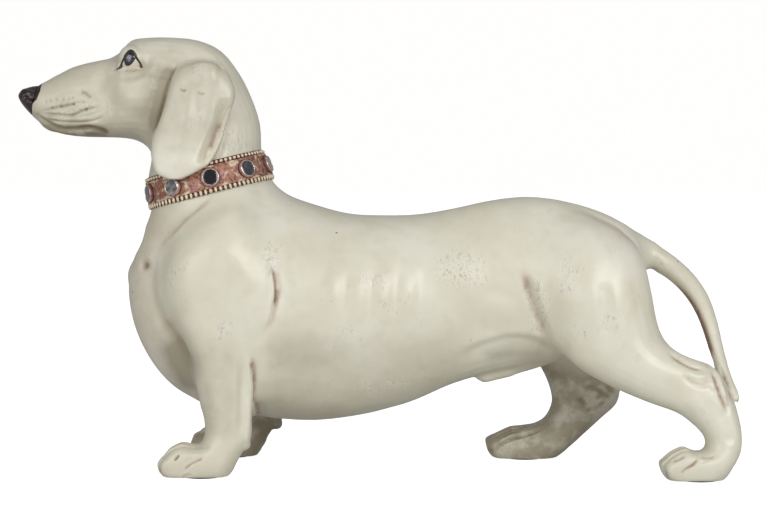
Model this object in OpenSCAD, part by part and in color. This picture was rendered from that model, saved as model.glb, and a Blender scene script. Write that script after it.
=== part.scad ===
// Standing dachshund figurine with a jewelled collar.
// The figure is slip cast in sections (trunk, head, ears, legs, tail) that are luted together,
// then a studded collar ring, ten set stones and four felt pads are added.
// Row frame: head towards -X, the dog's left side towards -Y, +Z up, floor at z = 0.

/* [Casting] */
// Wall of the hollow trunk and head
wall = 5; // [4:0.5:6]
// Diameter of the kiln vent under the belly
vent_d = 6; // [4:0.5:8]
// Height of the whole casting above the floor, which is the thickness of the felt pads
pad_h = 2; // [1:0.5:3]
// Diameter of a felt pad
pad_d = 20; // [12:1:22]
// How far the right foreleg stands behind the left one
foreleg_stagger = 10; // [0:1:16]

/* [Collar] */
// Height of the collar band along the neck
band_h = 14; // [10:1:16]
// Thickness of the band
band_t = 1.9; // [1.4:0.1:2.5]
// Section diameter of the beaded cord along each edge of the band
edge_d = 2.4; // [1.8:0.1:3]
// Backward slope of the collar
collar_tilt = 14.5; // [10:0.5:18]

/* [Stones] */
// Number of set stones round the collar
stone_count = 10; // [6:1:10]
// Diameter of a stone
stone_d = 8; // [6:0.5:9]
// Width of the metal cup's rim round a stone
cup_rim = 1.9; // [1.2:0.1:2]
// Turn of the ring of stones from the dog's left side towards the tail
stone_phase = 7; // [0:1:35]

/* [Eyes] */
// Diameter of an eyeball
eye_d = 15; // [12:0.5:16]

/* [Hidden] */
sides = 36;             // corners of a trunk or head section
leg_sides = 24;         // corners of a leg section
steps = 3;              // sections drawn from one station to the next
big = 500;              // larger than the figure
collar_at = [-93.6, 0, 160.2];
neck_r = 33.6;          // neck under the middle of the collar
neck_taper = 0.12;      // the neck loses this much radius per millimetre upwards
sole = pad_h;           // height of the flat soles
vent_at = [8, 0, 20];   // below the deepest part of the belly
left_eye_at = [-134.6, -15.2, 227];
fore_pad_at = [-93, -41];
left_hind_pad_at = [176, -41];
right_hind_pad_at = [87, 41];

STONE_NODES = [for (k = [1:stone_count]) str("stone_", k)];
CUP_NODES = [for (k = [1:stone_count]) str("stone_cup_", k)];

// ---------------------------------------------------------------- sections and lofts
// A station is [xa, za, xb, zb, half_width, y_centre, roundness]. The section passes through
// (xa, za) and (xb, zb) and is a superellipse of exponent roundness across that line.

// The collar's own frame: h is along the neck, upwards, and r is the radius.
function neck_radius(h) = neck_r - neck_taper * h;
function collar_point(h, r) = [
    collar_at.x - h * sin(collar_tilt) + r * cos(collar_tilt),
    collar_at.z + h * cos(collar_tilt) + r * sin(collar_tilt)];
function neck_station(h) = let (r = neck_radius(h), back = collar_point(h, r), front = collar_point(h, -r))
    [back.x, back.y, front.x, front.y, r, 0, 2];

// The back line is the first point of each station, from the rump over the withers to the collar.
trunk_stations = [
    [151, 119, 148, 102, 9, 0, 2],
    [147, 132, 141, 90, 24, 0, 2],
    [137, 139, 130, 78, 33, 0, 2.1],
    [122, 146, 116, 67, 38, 0, 2.1],
    [104, 151, 100, 60, 40, 0, 2.1],
    [85, 153, 83, 57, 39, 0, 2.1],
    [64, 150.5, 63, 53, 38, 0, 2.1],
    [44, 146, 43, 47, 39, 0, 2.1],
    [23, 142.5, 22, 38, 43, 0, 2.1],
    [3, 142, 3, 32, 47, 0, 2.2],
    [-17, 143, -17, 28, 50, 0, 2.2],
    [-42, 150, -42, 26.5, 52, 0, 2.2],
    [-47, 152, -80, 31, 52, 0, 2.2],
    [-51, 154, -112, 44, 49, 0, 2.1],
    [-54, 156.5, -131.5, 70, 44, 0, 2.1],
    [-56, 158, -138.5, 100, 39, 0, 2],
    [-57.5, 159.3, -132, 126, 36, 0, 2],
    neck_station(-8),
    neck_station(0)];

// From the collar up the nape, over the skull and along the muzzle to the nose.
head_stations = [
    neck_station(0),
    neck_station(8),
    [-65, 192, -125.5, 170.5, 31.5, 0, 2],
    [-70, 207, -125.5, 174.5, 31, 0, 2],
    [-77, 220.5, -126.5, 177, 30.5, 0, 2],
    [-87, 232.5, -128.5, 179.3, 29.5, 0, 2.1],
    [-100, 238.3, -131.5, 181.3, 28.5, 0, 2.1],
    [-115, 239.8, -135.5, 182.8, 27, 0, 2.2],
    [-127, 239.5, -139.5, 183.5, 25, 0, 2.4],
    [-136, 238, -143.5, 183.8, 22.5, 0, 2.5],
    [-141.5, 232.3, -148, 183.9, 20, 0, 2.3],
    [-149, 227.8, -154, 184, 18, 0, 2.2],
    [-159, 225.8, -161, 184.1, 16.5, 0, 2.2],
    [-169, 223, -169.5, 184.7, 15, 0, 2.2],
    [-177, 219.2, -177, 186.2, 13, 0, 2.1],
    [-182.5, 216, -183, 187.6, 11.5, 0, 2.1],
    [-187, 213.6, -188.2, 191.5, 10, 0, 2],
    [-188.5, 212.5, -192.2, 195.8, 8.5, 0, 2]];

nose_stations = [
    head_stations[len(head_stations) - 1],
    [-192.5, 212, -195, 198.7, 8.2, 0, 2],
    [-196.6, 210.6, -198, 202.4, 6.5, 0, 2],
    [-199.4, 208.4, -199.6, 205.4, 3.2, 0, 2]];

sheath_stations = [
    [53, 58, 53, 54, 2, 0, 2],
    [56, 61, 57, 50.5, 5, 0, 2],
    [63, 64, 64, 48.8, 6.5, 0, 2],
    [75, 68, 75, 51, 7, 0, 2],
    [89, 72, 89, 54.5, 7, 0, 2],
    [104, 74, 104, 60, 5, 0, 2]];

// An ear hangs from the side of the skull: front edge, back edge, half thickness.
ear_stations = [
    [-99, 226.5, -90, 226, 3, -25, 2],
    [-106, 223.5, -83.5, 222.5, 5, -27, 2.4],
    [-111, 215.5, -79, 215.5, 6, -29, 2.6],
    [-114, 204, -76.5, 206, 6.5, -30, 2.6],
    [-117, 193.5, -80, 194.5, 6.5, -31, 2.6],
    [-121, 185, -83.5, 184, 6.5, -32, 2.6],
    [-122, 177.5, -87, 175.5, 6, -34, 2.6],
    [-120.8, 169, -91, 168.5, 4.5, -37, 2.5],
    [-118, 163.5, -98, 164, 3, -39, 2.3],
    [-112, 160.7, -105, 160.7, 2, -39.5, 2]];

// A leg runs from the muscle under the back down to the sole and forward to the toes.
foreleg_stations = [
    [-88, 146, -72, 148, 8, -34, 2],
    [-104, 134, -60, 136, 14, -36, 2],
    [-114, 118, -54, 118, 18, -37, 2.2],
    [-116, 101, -52.5, 99, 18.5, -37.5, 2.2],
    [-109.5, 85, -55, 83, 17, -38.5, 2.2],
    [-104, 71, -61.5, 68, 15.5, -39.5, 2.2],
    [-98.5, 56, -64, 55, 13.8, -40, 2.2],
    [-94.5, 43, -65, 43, 12.8, -40.5, 2.2],
    [-92, 32, -66, 31, 12.3, -41, 2.2],
    [-91.5, 24.5, -66.5, 20.5, 12.5, -41, 2.2],
    [-93.5, 18.5, -71.5, 12.5, 13.5, -41, 2.2],
    [-98, 17.5, -78.5, 1.5, 14.5, -41, 2.3],
    [-104, 18.5, -90, -1, 15, -41, 2.4],
    [-109, 16, -103, -1, 14.8, -41, 2.4],
    [-113.5, 11.5, -111, 0, 13, -41, 2.3],
    [-116.5, 7.5, -115.5, 3.5, 8, -41, 2]];

left_hind_stations = [
    [92, 140, 130, 138, 9, -22, 2],
    [86, 126, 146, 124, 18, -26, 2.1],
    [86, 109, 150.5, 107, 21, -28, 2.2],
    [92, 90, 153, 90, 21, -29.5, 2.2],
    [99, 70, 156.5, 78, 19.5, -31, 2.2],
    [112, 58.5, 163, 70, 17, -33, 2.2],
    [129, 49.3, 172, 65.5, 14.5, -35.5, 2.2],
    [148, 41.5, 182, 62, 12.5, -37.5, 2.2],
    [163, 36.3, 189.5, 53, 11.5, -39, 2.2],
    [172, 30, 194, 43, 11, -40, 2.2],
    [177.5, 24, 197.2, 31.5, 10.8, -41, 2.2],
    [178.5, 19, 199, 21, 11.5, -41, 2.2],
    [176.5, 16, 195, 9.5, 13, -41, 2.2],
    [172, 16, 187.5, 1, 14.5, -41, 2.3],
    [166.5, 18, 176.5, -1, 15, -41, 2.4],
    [160.5, 15, 165, -1, 14.5, -41, 2.4],
    [156, 11.5, 158.5, 1, 12.5, -41, 2.3],
    [153.8, 9.5, 155.5, 5, 7.5, -41, 2]];

right_hind_stations = [
    [90, 140, 128, 138, 9, 22, 2],
    [84, 126, 144, 124, 18, 26, 2.1],
    [82, 108, 147, 106, 21, 28, 2.2],
    [83, 90, 146, 88, 21, 29.5, 2.2],
    [85, 73, 143, 70, 18.5, 31.5, 2.2],
    [91, 60, 141.5, 55, 15.5, 34, 2.2],
    [97.5, 49, 141.5, 43, 13.5, 36.5, 2.2],
    [101.5, 38, 139.5, 32.5, 12, 38.5, 2.2],
    [101.5, 31, 131, 24, 11.5, 40, 2.2],
    [98, 24, 121, 14.5, 12.5, 41, 2.2],
    [92, 20.3, 110, 5, 13.8, 41, 2.3],
    [84.5, 19, 97, -1, 14.8, 41, 2.4],
    [77.5, 18, 83, -1, 15, 41, 2.4],
    [72, 15, 74, -0.5, 14.2, 41, 2.4],
    [67, 13, 68, 2, 12.3, 41, 2.3],
    [64.3, 11, 65.3, 5.5, 7.5, 41, 2]];

// The tail's centre line with its radius: x, y, z, r.
tail_line = [
    [143, 0, 128, 9],
    [153.8, -0.5, 120.3, 7.4],
    [164, -2, 114.2, 6.4],
    [173.2, -6, 105.8, 6.1],
    [180.2, -11, 95, 5.8],
    [184.8, -17, 81, 5.2],
    [187.7, -23, 67, 4.5],
    [190.2, -28, 56, 4],
    [193.8, -32, 48, 3.2],
    [197.6, -35, 42.5, 2]];

// A point of the smooth curve through a list, t stations after its first.
function spline(list, t) = let (
    last = len(list) - 1,
    i = min(floor(t), last - 1),
    u = t - i,
    p0 = list[max(i - 1, 0)],
    p1 = list[i],
    p2 = list[i + 1],
    p3 = list[min(i + 2, last)])
    0.5 * (2 * p1 + (p2 - p0) * u + (2 * p0 - 5 * p1 + 4 * p2 - p3) * u * u
           + (3 * p1 - p0 - 3 * p2 + p3) * u * u * u);
function smoothed(list, per = steps) = [for (k = [0:per * (len(list) - 1)]) spline(list, k / per)];

function signed_pow(v, e) = sign(v) * pow(abs(v), e);
function section(s, count) = let (
    a = [s[0], s[1]],
    b = [s[2], s[3]],
    middle = (a + b) / 2,
    half = (a - b) / 2,
    e = 2 / s[6])
    [for (k = [0:count - 1]) let (
        along = signed_pow(cos(360 * k / count), e),
        across = signed_pow(sin(360 * k / count), e),
        p = middle + half * along)
        [p.x, s[5] + s[4] * across, p.y]];

// A round section of radius r across a centre line that runs along direction d.
function round_section(c, d, r, count) = let (
    side = cross(d, [0, 1, 0]) / norm(cross(d, [0, 1, 0])),
    up = cross(side, d) / norm(cross(side, d)))
    [for (k = [0:count - 1]) c + r * (cos(360 * k / count) * side + sin(360 * k / count) * up)];

// Closes a list of sections into a solid. Flip turns the skin outwards for the other direction.
module skin(rings, flip = false) {
    count = len(rings[0]);
    rows = len(rings);
    points = [for (ring = rings) for (p = ring) p];
    turned = function(f) flip ? [f[2], f[1], f[0]] : f;
    faces = [
        for (j = [0:rows - 2]) for (k = [0:count - 1]) let (
            n = (k + 1) % count, a = j * count + k, b = j * count + n, c = a + count, d = b + count)
            each [turned([a, c, b]), turned([b, c, d])],
        for (k = [1:count - 2]) each [
            turned([0, k, k + 1]),
            turned([(rows - 1) * count, (rows - 1) * count + k + 1, (rows - 1) * count + k])]];
    polyhedron(points, faces, convexity = 6);
}

module loft(stations, count, flip = false) {
    skin([for (s = smoothed(stations)) section(s, count)], flip);
}

// A station moved in by the wall on every side, for the hollow inside a casting.
function inset(s) = let (a = [s[0], s[1]], b = [s[2], s[3]], u = (b - a) / norm(b - a))
    [s[0] + wall * u.x, s[1] + wall * u.y, s[2] - wall * u.x, s[3] - wall * u.y, s[4] - wall, s[5], s[6]];
function inset_stations(stations, first, last) = [for (k = [first:last]) inset(stations[k])];

module mirrored_y() { mirror([0, 1, 0]) children(); }
module in_collar() { translate(collar_at) rotate([0, -collar_tilt, 0]) children(); }
module above_soles() {
    difference() {
        children();
        translate([-big, -big, sole - big]) cube([2 * big, 2 * big, big]);
    }
}

// ---------------------------------------------------------------- the casting
module trunk_solid() {
    loft(trunk_stations, sides);
    loft(sheath_stations, leg_sides);
}
module head_solid() { loft(head_stations, sides); }

// The two hollows run into each other through the neck.
module trunk_hollow() {
    body = inset_stations(trunk_stations, 1, 16);
    stations = [each body, inset(neck_station(-6)), inset(neck_station(1))];
    skin([for (s = stations) section(s, leg_sides)]);
}
module head_hollow() {
    skull = inset_stations(head_stations, 2, 13);
    stations = [inset(neck_station(-1)), inset(neck_station(6)), each skull];
    skin([for (s = stations) section(s, leg_sides)]);
}

module trunk_shell() {
    color("#d6d0bb") difference() {
        trunk_solid();
        trunk_hollow();
        translate(vent_at) cylinder(h = 25, d = vent_d, $fn = 32);
    }
}

module head_shell() {
    color("#d6d0bb") difference() {
        head_solid();
        head_hollow();
        left_eye();
        right_eye();
    }
}

module nose() { color("#2b1d1f") loft(nose_stations, sides); }

module left_eye() {
    color("#3a2b2c") translate(left_eye_at) sphere(d = eye_d, $fn = 32);
}
module right_eye() { mirrored_y() left_eye(); }

module left_ear() {
    color("#d6d0bb") difference() {
        loft(ear_stations, leg_sides);
        head_solid();
    }
}
module right_ear() { color("#d6d0bb") mirrored_y() left_ear(); }

module foreleg_solid() { above_soles() loft(foreleg_stations, leg_sides); }
module left_foreleg() {
    color("#d6d0bb") difference() {
        foreleg_solid();
        trunk_solid();
    }
}
module right_foreleg() {
    color("#d6d0bb") difference() {
        translate([foreleg_stagger, 0, 0]) mirrored_y() foreleg_solid();
        trunk_solid();
    }
}

module left_hind_solid() { above_soles() loft(left_hind_stations, leg_sides); }
module left_hind_leg() {
    color("#d6d0bb") difference() {
        left_hind_solid();
        trunk_solid();
    }
}
module right_hind_leg() {
    color("#d6d0bb") difference() {
        above_soles() loft(right_hind_stations, leg_sides, true);
        trunk_solid();
    }
}

module tail() {
    line = [for (p = smoothed(tail_line)) p];
    count = len(line);
    centre = function(k) [line[k][0], line[k][1], line[k][2]];
    color("#d6d0bb") difference() {
        skin([for (k = [0:count - 1])
            round_section(centre(k), centre(min(k + 1, count - 1)) - centre(max(k - 1, 0)), line[k][3], 16)]);
        trunk_solid();
        left_hind_solid();
    }
}

// ---------------------------------------------------------------- the collar
function band_radius(h) = neck_radius(h) + band_t;

module band_profile(inner, outer, low, high) {
    polygon([
        [neck_radius(low) + inner, low],
        [neck_radius(low) + outer, low],
        [neck_radius(high) + outer, high],
        [neck_radius(high) + inner, high]]);
}

module collar_band() {
    color("#a9705c") in_collar() rotate_extrude($fn = 96) band_profile(0.02, band_t, -band_h / 2, band_h / 2);
}

// A rounded cord that closes the band's edge.
module collar_edge(h) {
    low = h < 0 ? h - edge_d : h;
    color("#c9ab85") in_collar() rotate_extrude($fn = 96)
        band_profile(0.02, band_t + 0.4, low, low + edge_d);
}
module collar_upper_edge() { collar_edge(band_h / 2); }
module collar_lower_edge() { collar_edge(-band_h / 2); }

// Puts its children on the band at stone k, with +Z straight out of the band.
module at_stone(k) {
    turn = stone_phase - 90 + 360 * (k - 1) / stone_count;
    in_collar() rotate([0, 0, turn]) translate([band_radius(0), 0, 0])
        rotate([0, 90 + atan(neck_taper) * -1, 0]) children();
}
module behind_band() {
    in_collar() rotate_extrude($fn = 96)
        polygon([[0, -20], [band_radius(-20), -20], [band_radius(20), 20], [0, 20]]);
}

// Profile of a cup: a raised ring with a chamfered lip that holds the stone.
module stone_cup(k) {
    outer = stone_d / 2 + cup_rim;
    color("#b9b4ac") difference() {
        at_stone(k) rotate_extrude($fn = 48) polygon([
            [stone_d / 2, -2], [outer, -2], [outer, 0.9], [outer - 0.7, 1.5], [stone_d / 2, 1.5]]);
        behind_band();
    }
}
module stone(k) {
    r = stone_d / 2;
    color("#4a4a50") difference() {
        at_stone(k) rotate_extrude($fn = 48) polygon([
            [0, -2], [r, -2], [r, 1.2], [r - 0.8, 2], [0, 2.2]]);
        behind_band();
    }
}

// ---------------------------------------------------------------- felt pads
module felt_pad(at) { color("#57524b") translate([at.x, at.y, 0]) cylinder(h = pad_h, d = pad_d, $fn = 48); }
module left_fore_pad() { felt_pad(fore_pad_at); }
module right_fore_pad() { felt_pad([fore_pad_at.x + foreleg_stagger, -fore_pad_at.y]); }
module left_hind_pad() { felt_pad(left_hind_pad_at); }
module right_hind_pad() { felt_pad(right_hind_pad_at); }

trunk_shell();
head_shell();
nose();
left_ear();
right_ear();
left_eye();
right_eye();
left_foreleg();
right_foreleg();
left_hind_leg();
right_hind_leg();
tail();
collar_band();
collar_upper_edge();
collar_lower_edge();
left_fore_pad();
right_fore_pad();
left_hind_pad();
right_hind_pad();
for (k = [1:stone_count]) {
    stone(k);
    stone_cup(k);
}
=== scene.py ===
"""The looks of a standing ceramic dachshund with a jewelled collar.

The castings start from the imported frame, are joined and remeshed, and are then worked like clay:
muscles, folds, toes and lids are strokes and presses given in millimetres. The collar, its beads,
cups and stones, the eyes, the nose and the felt pads are modelled as pieces of their own.
"""

import logging
import math
from dataclasses import dataclass
from enum import Enum
from typing import Any, Callable, Iterable, Sequence

import bmesh
import bpy
import numpy as np
from mathutils import Matrix, Vector
from mathutils.bvhtree import BVHTree


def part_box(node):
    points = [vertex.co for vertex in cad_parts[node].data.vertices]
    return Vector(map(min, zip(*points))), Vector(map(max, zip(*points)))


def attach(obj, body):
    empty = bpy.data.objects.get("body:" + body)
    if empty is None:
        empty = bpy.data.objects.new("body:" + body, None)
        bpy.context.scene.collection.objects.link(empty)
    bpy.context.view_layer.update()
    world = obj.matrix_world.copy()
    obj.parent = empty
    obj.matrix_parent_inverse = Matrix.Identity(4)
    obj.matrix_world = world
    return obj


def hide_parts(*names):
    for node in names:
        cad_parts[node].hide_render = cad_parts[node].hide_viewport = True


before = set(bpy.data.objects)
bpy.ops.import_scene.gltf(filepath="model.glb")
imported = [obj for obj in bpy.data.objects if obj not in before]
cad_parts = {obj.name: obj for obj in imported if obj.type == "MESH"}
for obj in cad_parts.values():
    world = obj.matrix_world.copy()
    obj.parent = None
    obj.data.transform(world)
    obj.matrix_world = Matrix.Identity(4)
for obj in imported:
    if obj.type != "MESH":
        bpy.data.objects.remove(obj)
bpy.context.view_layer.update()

MM = 0.001
BODY = "root"
log = logging.getLogger("dachshund")

Point2 = tuple[float, float]
Point3 = tuple[float, float, float]


class Side(Enum):
    """The side of the dog that a tool works on, as the sign of Y."""

    LEFT = -1
    RIGHT = 1
    BOTH = 0


# ------------------------------------------------------------------ shader maths


class Sock:
    """A shader socket that takes part in Python expressions."""

    def __init__(self, tree: bpy.types.NodeTree, socket: bpy.types.NodeSocket) -> None:
        """Wraps a socket of a tree."""
        self.tree = tree
        self.socket = socket

    def _math(self, operation: str, a: Any, b: Any = None, c: Any = None, clamp: bool = False) -> "Sock":
        """Adds a Math node.

        Args:
            operation: the Math node's operation.
            a, b, c: values or sockets for its inputs.
            clamp: keeps the result between 0 and 1.

        Returns:
            The node's result.
        """
        node = self.tree.nodes.new("ShaderNodeMath")
        node.operation = operation
        node.use_clamp = clamp
        for index, value in enumerate((a, b, c)):
            if value is None:
                continue
            if isinstance(value, Sock):
                self.tree.links.new(value.socket, node.inputs[index])
            else:
                node.inputs[index].default_value = value
        return Sock(self.tree, node.outputs[0])

    def __add__(self, other: Any) -> "Sock":
        """Sum."""
        return self._math("ADD", self, other)

    __radd__ = __add__

    def __sub__(self, other: Any) -> "Sock":
        """Difference."""
        return self._math("SUBTRACT", self, other)

    def __rsub__(self, other: Any) -> "Sock":
        """Difference with the socket on the right."""
        return self._math("SUBTRACT", other, self)

    def __mul__(self, other: Any) -> "Sock":
        """Product."""
        return self._math("MULTIPLY", self, other)

    __rmul__ = __mul__

    def above(self, low: float, high: float) -> "Sock":
        """Rises smoothly from 0 at low to 1 at high.

        Args:
            low: where the rise starts.
            high: where it ends.

        Returns:
            The risen socket.
        """
        node = self.tree.nodes.new("ShaderNodeMapRange")
        node.interpolation_type = "SMOOTHSTEP"
        self.tree.links.new(self.socket, node.inputs["Value"])
        node.inputs["From Min"].default_value = low
        node.inputs["From Max"].default_value = high
        return Sock(self.tree, node.outputs[0])

    def clamped(self) -> "Sock":
        """The value kept between 0 and 1."""
        return self._math("MULTIPLY", self, 1.0, clamp=True)


class Finish:
    """A node material under construction."""

    def __init__(self, name: str) -> None:
        """Starts an empty material with a Principled shader and object coordinates in millimetres."""
        self.material = bpy.data.materials.new(name)
        self.material.use_nodes = True
        self.tree = self.material.node_tree
        self.shader = self.tree.nodes["Principled BSDF"]
        self.place = self.node("ShaderNodeTexCoord", {}, {}, "Object")

    def node(self, kind: str, settings: dict[str, Any], values: dict[Any, Any], output: Any = 0) -> Sock:
        """Adds any node.

        Args:
            kind: the node's type.
            settings: attributes that are set first.
            values: constants or sockets for its inputs.
            output: the name or number of the output to use.

        Returns:
            That output.
        """
        made = self.tree.nodes.new(kind)
        for key, value in settings.items():
            setattr(made, key, value)
        for key, value in values.items():
            if isinstance(value, Sock):
                self.tree.links.new(value.socket, made.inputs[key])
            else:
                made.inputs[key].default_value = value
        return Sock(self.tree, made.outputs[output])

    def noise(self, size: float, detail: float = 2.0, rough: float = 0.5, warp: float = 0.0,
              stretch: Point3 = (1.0, 1.0, 1.0), turn: Point3 = (0.0, 0.0, 0.0)) -> Sock:
        """Soft noise whose grains are about size millimetres wide.

        Args:
            size: the grains' width.
            detail: how many finer layers it has.
            rough: how strong those are.
            warp: how far the grains are bent.
            stretch: how much each axis is drawn out.
            turn: how the pattern is turned.

        Returns:
            The noise, from 0 to 1.
        """
        spread = tuple(s / (size * MM) for s in stretch)
        place = self.node("ShaderNodeMapping", {}, {"Vector": self.place, "Scale": spread, "Rotation": turn})
        values = {"Vector": place, "Scale": 1.0, "Detail": detail, "Roughness": rough, "Distortion": warp}
        return self.node("ShaderNodeTexNoise", {"noise_dimensions": "3D"}, values, "Fac")

    def cells(self, size: float, feature: str = "F1", output: str = "Distance") -> Sock:
        """Voronoi cells about size millimetres wide."""
        scale = (1 / (size * MM),) * 3
        place = self.node("ShaderNodeMapping", {}, {"Vector": self.place, "Scale": scale})
        return self.node("ShaderNodeTexVoronoi", {"feature": feature}, {"Vector": place, "Scale": 1.0},
                         output)

    def painted(self, name: str) -> Sock:
        """A value that was painted on the piece's vertices."""
        return self.node("ShaderNodeAttribute", {"attribute_name": name}, {}, "Fac")

    def blend(self, share: Any, first: Any, second: Any, mode: str = "MIX") -> Sock:
        """Mixes two colours by a share from 0 to 1."""
        settings = {"data_type": "RGBA", "blend_type": mode, "clamp_factor": True}
        return self.node("ShaderNodeMix", settings, {0: share, 6: first, 7: second}, 2)

    def bump(self, height: Sock, distance: float, strength: float = 1.0) -> None:
        """Adds relief of distance millimetres to the surface."""
        values = {"Height": height, "Distance": distance * MM, "Strength": strength}
        self.wire("Normal", self.node("ShaderNodeBump", {}, values, "Normal"))

    def wire(self, name: str, value: Any) -> None:
        """Sets one of the shader's inputs to a constant or a socket.

        Args:
            name: the input's name.
            value: the constant or socket.
        """
        if isinstance(value, Sock):
            self.tree.links.new(value.socket, self.shader.inputs[name])
        else:
            self.shader.inputs[name].default_value = value


def srgb(red: float, green: float, blue: float) -> tuple[float, float, float, float]:
    """A display colour of 0 to 255 as a linear one."""
    levels = (red / 255, green / 255, blue / 255)
    linear = [v / 12.92 if v <= 0.04045 else ((v + 0.055) / 1.055) ** 2.4 for v in levels]
    return (linear[0], linear[1], linear[2], 1.0)


# ------------------------------------------------------------------ finishes


@dataclass(frozen=True)
class CreamGlaze:
    """Antiqued satin cream glaze, with a brown wash in the creases and grey rubs on the high spots, painted
    shade on the low and far parts, and lightened patches that are partly painted highlights.
    """

    name: str = "cream_glaze"
    cream: tuple = srgb(213, 208, 188)
    pale: tuple = srgb(222, 219, 204)
    olive: tuple = srgb(198, 192, 165)
    rose: tuple = srgb(194, 172, 152)
    brown: tuple = srgb(116, 90, 70)
    dark: tuple = srgb(24, 15, 15)
    grey: tuple = srgb(146, 142, 134)
    grime_and_shade: tuple = srgb(136, 126, 102)

    def material(self) -> bpy.types.Material:
        """Builds the glaze.

        Returns:
            The material.
        """
        f = Finish(self.name)
        cloud = f.noise(38, 3, 0.55)
        mottle = f.noise(9, 4, 0.6)
        fine = f.noise(1.1, 3, 0.65)
        colour = f.blend(cloud.above(0.35, 0.7), self.cream, self.pale)
        colour = f.blend(mottle.above(0.45, 0.8) * 0.35, colour, self.olive)
        # brown wash in the creases, which also carries painted shade: rose first, then brown where it is
        # thick
        wash = f.painted("wash") * (0.5 + mottle)
        colour = f.blend(wash.above(0.04, 0.8) * 0.7, colour, self.rose)
        colour = f.blend(wash.above(0.4, 1.35) * (0.5 + fine * 0.8), colour, self.brown)
        # painted shade with some soiling, strongest low down on the far legs, under the body and head and
        # beside the legs and ears
        grime_and_shade = f.painted("grime_and_shade") * (0.7 + mottle * 0.6)
        colour = f.blend(grime_and_shade.clamped() * 0.78, colour, self.grime_and_shade)
        # rubbed speckle in lightened patches, which partly stand for painted highlights
        rub = f.painted("rub")
        streak = f.noise(1.5, 3, 0.7, 0.5, (1.0, 1.0, 0.42))
        patch = (f.noise(13, 3, 0.6) + rub * 0.34).above(0.62, 0.86)
        hair = f.noise(0.8, 2, 0.6, 0.3, (1.0, 1.0, 0.3))
        speck = streak.above(0.54, 0.62) * fine.above(0.38, 0.52) + hair.above(0.56, 0.64) * 0.6
        speck = (speck * patch).clamped()
        colour = f.blend(patch * 0.45, colour, self.pale)
        colour = f.blend(speck * 0.55, colour, self.grey)
        # painted lines, and painted shade inside the vent hole
        colour = f.blend(f.painted("line").above(0.3, 0.75), colour, self.dark)
        # pinholes
        pin = f.cells(24, "F1").above(0.022, 0.031)
        colour = f.blend((1 - pin) * 0.85, colour, self.brown)
        f.wire("Base Color", colour)
        f.wire("Roughness", 0.4 + patch * 0.08 + wash.clamped() * 0.25 + fine * 0.08)
        f.wire("Coat Weight", 0.4)
        f.wire("Coat Roughness", 0.27)
        f.wire("Subsurface Weight", 0.0)
        f.bump(mottle * 0.55 + f.noise(3.2, 2, 0.5) * 0.3 + fine * 0.08 - speck * 0.25, 0.16, 0.5)
        return f.material


@dataclass(frozen=True)
class DarkGlaze:
    """Brushed-on gloss dark glaze of the nose and eyes."""

    name: str = "dark_glaze"
    body: tuple = srgb(30, 17, 20)
    warm: tuple = srgb(58, 37, 36)
    rough: float = 0.24

    def material(self) -> bpy.types.Material:
        """Builds the glaze.

        Returns:
            The material.
        """
        f = Finish(self.name)
        cloud = f.noise(3, 3, 0.6)
        fine = f.noise(0.6, 3, 0.6)
        colour = f.blend(cloud.above(0.4, 0.75), self.body, self.warm)
        f.wire("Base Color", colour)
        f.wire("Roughness", self.rough + fine * 0.14)
        f.wire("Coat Weight", 0.35)
        f.wire("Coat Roughness", 0.1)
        f.bump(cloud * 0.6 + fine * 0.4, 0.12, 0.6)
        return f.material


@dataclass(frozen=True)
class CollarCopper:
    """Rubbed copper and rose paint of the collar, with beige where it has worn through."""

    name: str = "collar_copper"
    copper: tuple = srgb(166, 114, 84)
    rose: tuple = srgb(166, 122, 118)
    deep: tuple = srgb(102, 54, 46)
    worn: tuple = srgb(218, 202, 176)

    def material(self) -> bpy.types.Material:
        """Builds the paint.

        Returns:
            The material.
        """
        f = Finish(self.name)
        cloud = f.noise(6, 3, 0.6, 0.4)
        mottle = f.noise(1.8, 4, 0.65, 0.3)
        fine = f.noise(0.5, 2, 0.6)
        colour = f.blend(cloud.above(0.4, 0.62), self.copper, self.rose)
        colour = f.blend(mottle.above(0.44, 0.62) * 0.9, colour, self.deep)
        colour = f.blend(fine.above(0.55, 0.7) * 0.3, colour, self.worn)
        wear = (f.noise(4.5, 3, 0.6, 0.5) + f.painted("edge") * 0.1).above(0.55, 0.68)
        colour = f.blend(wear * 0.85, colour, self.worn)
        colour = f.blend(f.painted("gap").above(0.2, 0.9) * 0.8, colour, self.deep)
        f.wire("Base Color", colour)
        f.wire("Metallic", 0.25 - wear * 0.2)
        f.wire("Roughness", 0.4 + fine * 0.2)
        f.bump(mottle * 0.6 + fine * 0.4, 0.15, 0.7)
        return f.material


@dataclass(frozen=True)
class BeadPaint:
    """Beige beads with dark copper left between them."""

    name: str = "collar_edge"
    beige: tuple = srgb(224, 210, 182)
    copper: tuple = srgb(178, 134, 108)
    deep: tuple = srgb(88, 48, 40)

    def material(self) -> bpy.types.Material:
        """Builds the paint.

        Returns:
            The material.
        """
        f = Finish(self.name)
        cloud = f.noise(5, 3, 0.6, 0.4)
        fine = f.noise(0.6, 3, 0.6)
        colour = f.blend(cloud.above(0.5, 0.72) * 0.55, self.beige, self.copper)
        colour = f.blend(fine.above(0.55, 0.75) * 0.4, colour, self.copper)
        colour = f.blend(f.painted("gap").above(0.25, 0.75), colour, self.deep)
        f.wire("Base Color", colour)
        f.wire("Roughness", 0.45 + fine * 0.2)
        f.bump(fine, 0.1, 0.6)
        return f.material


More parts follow.
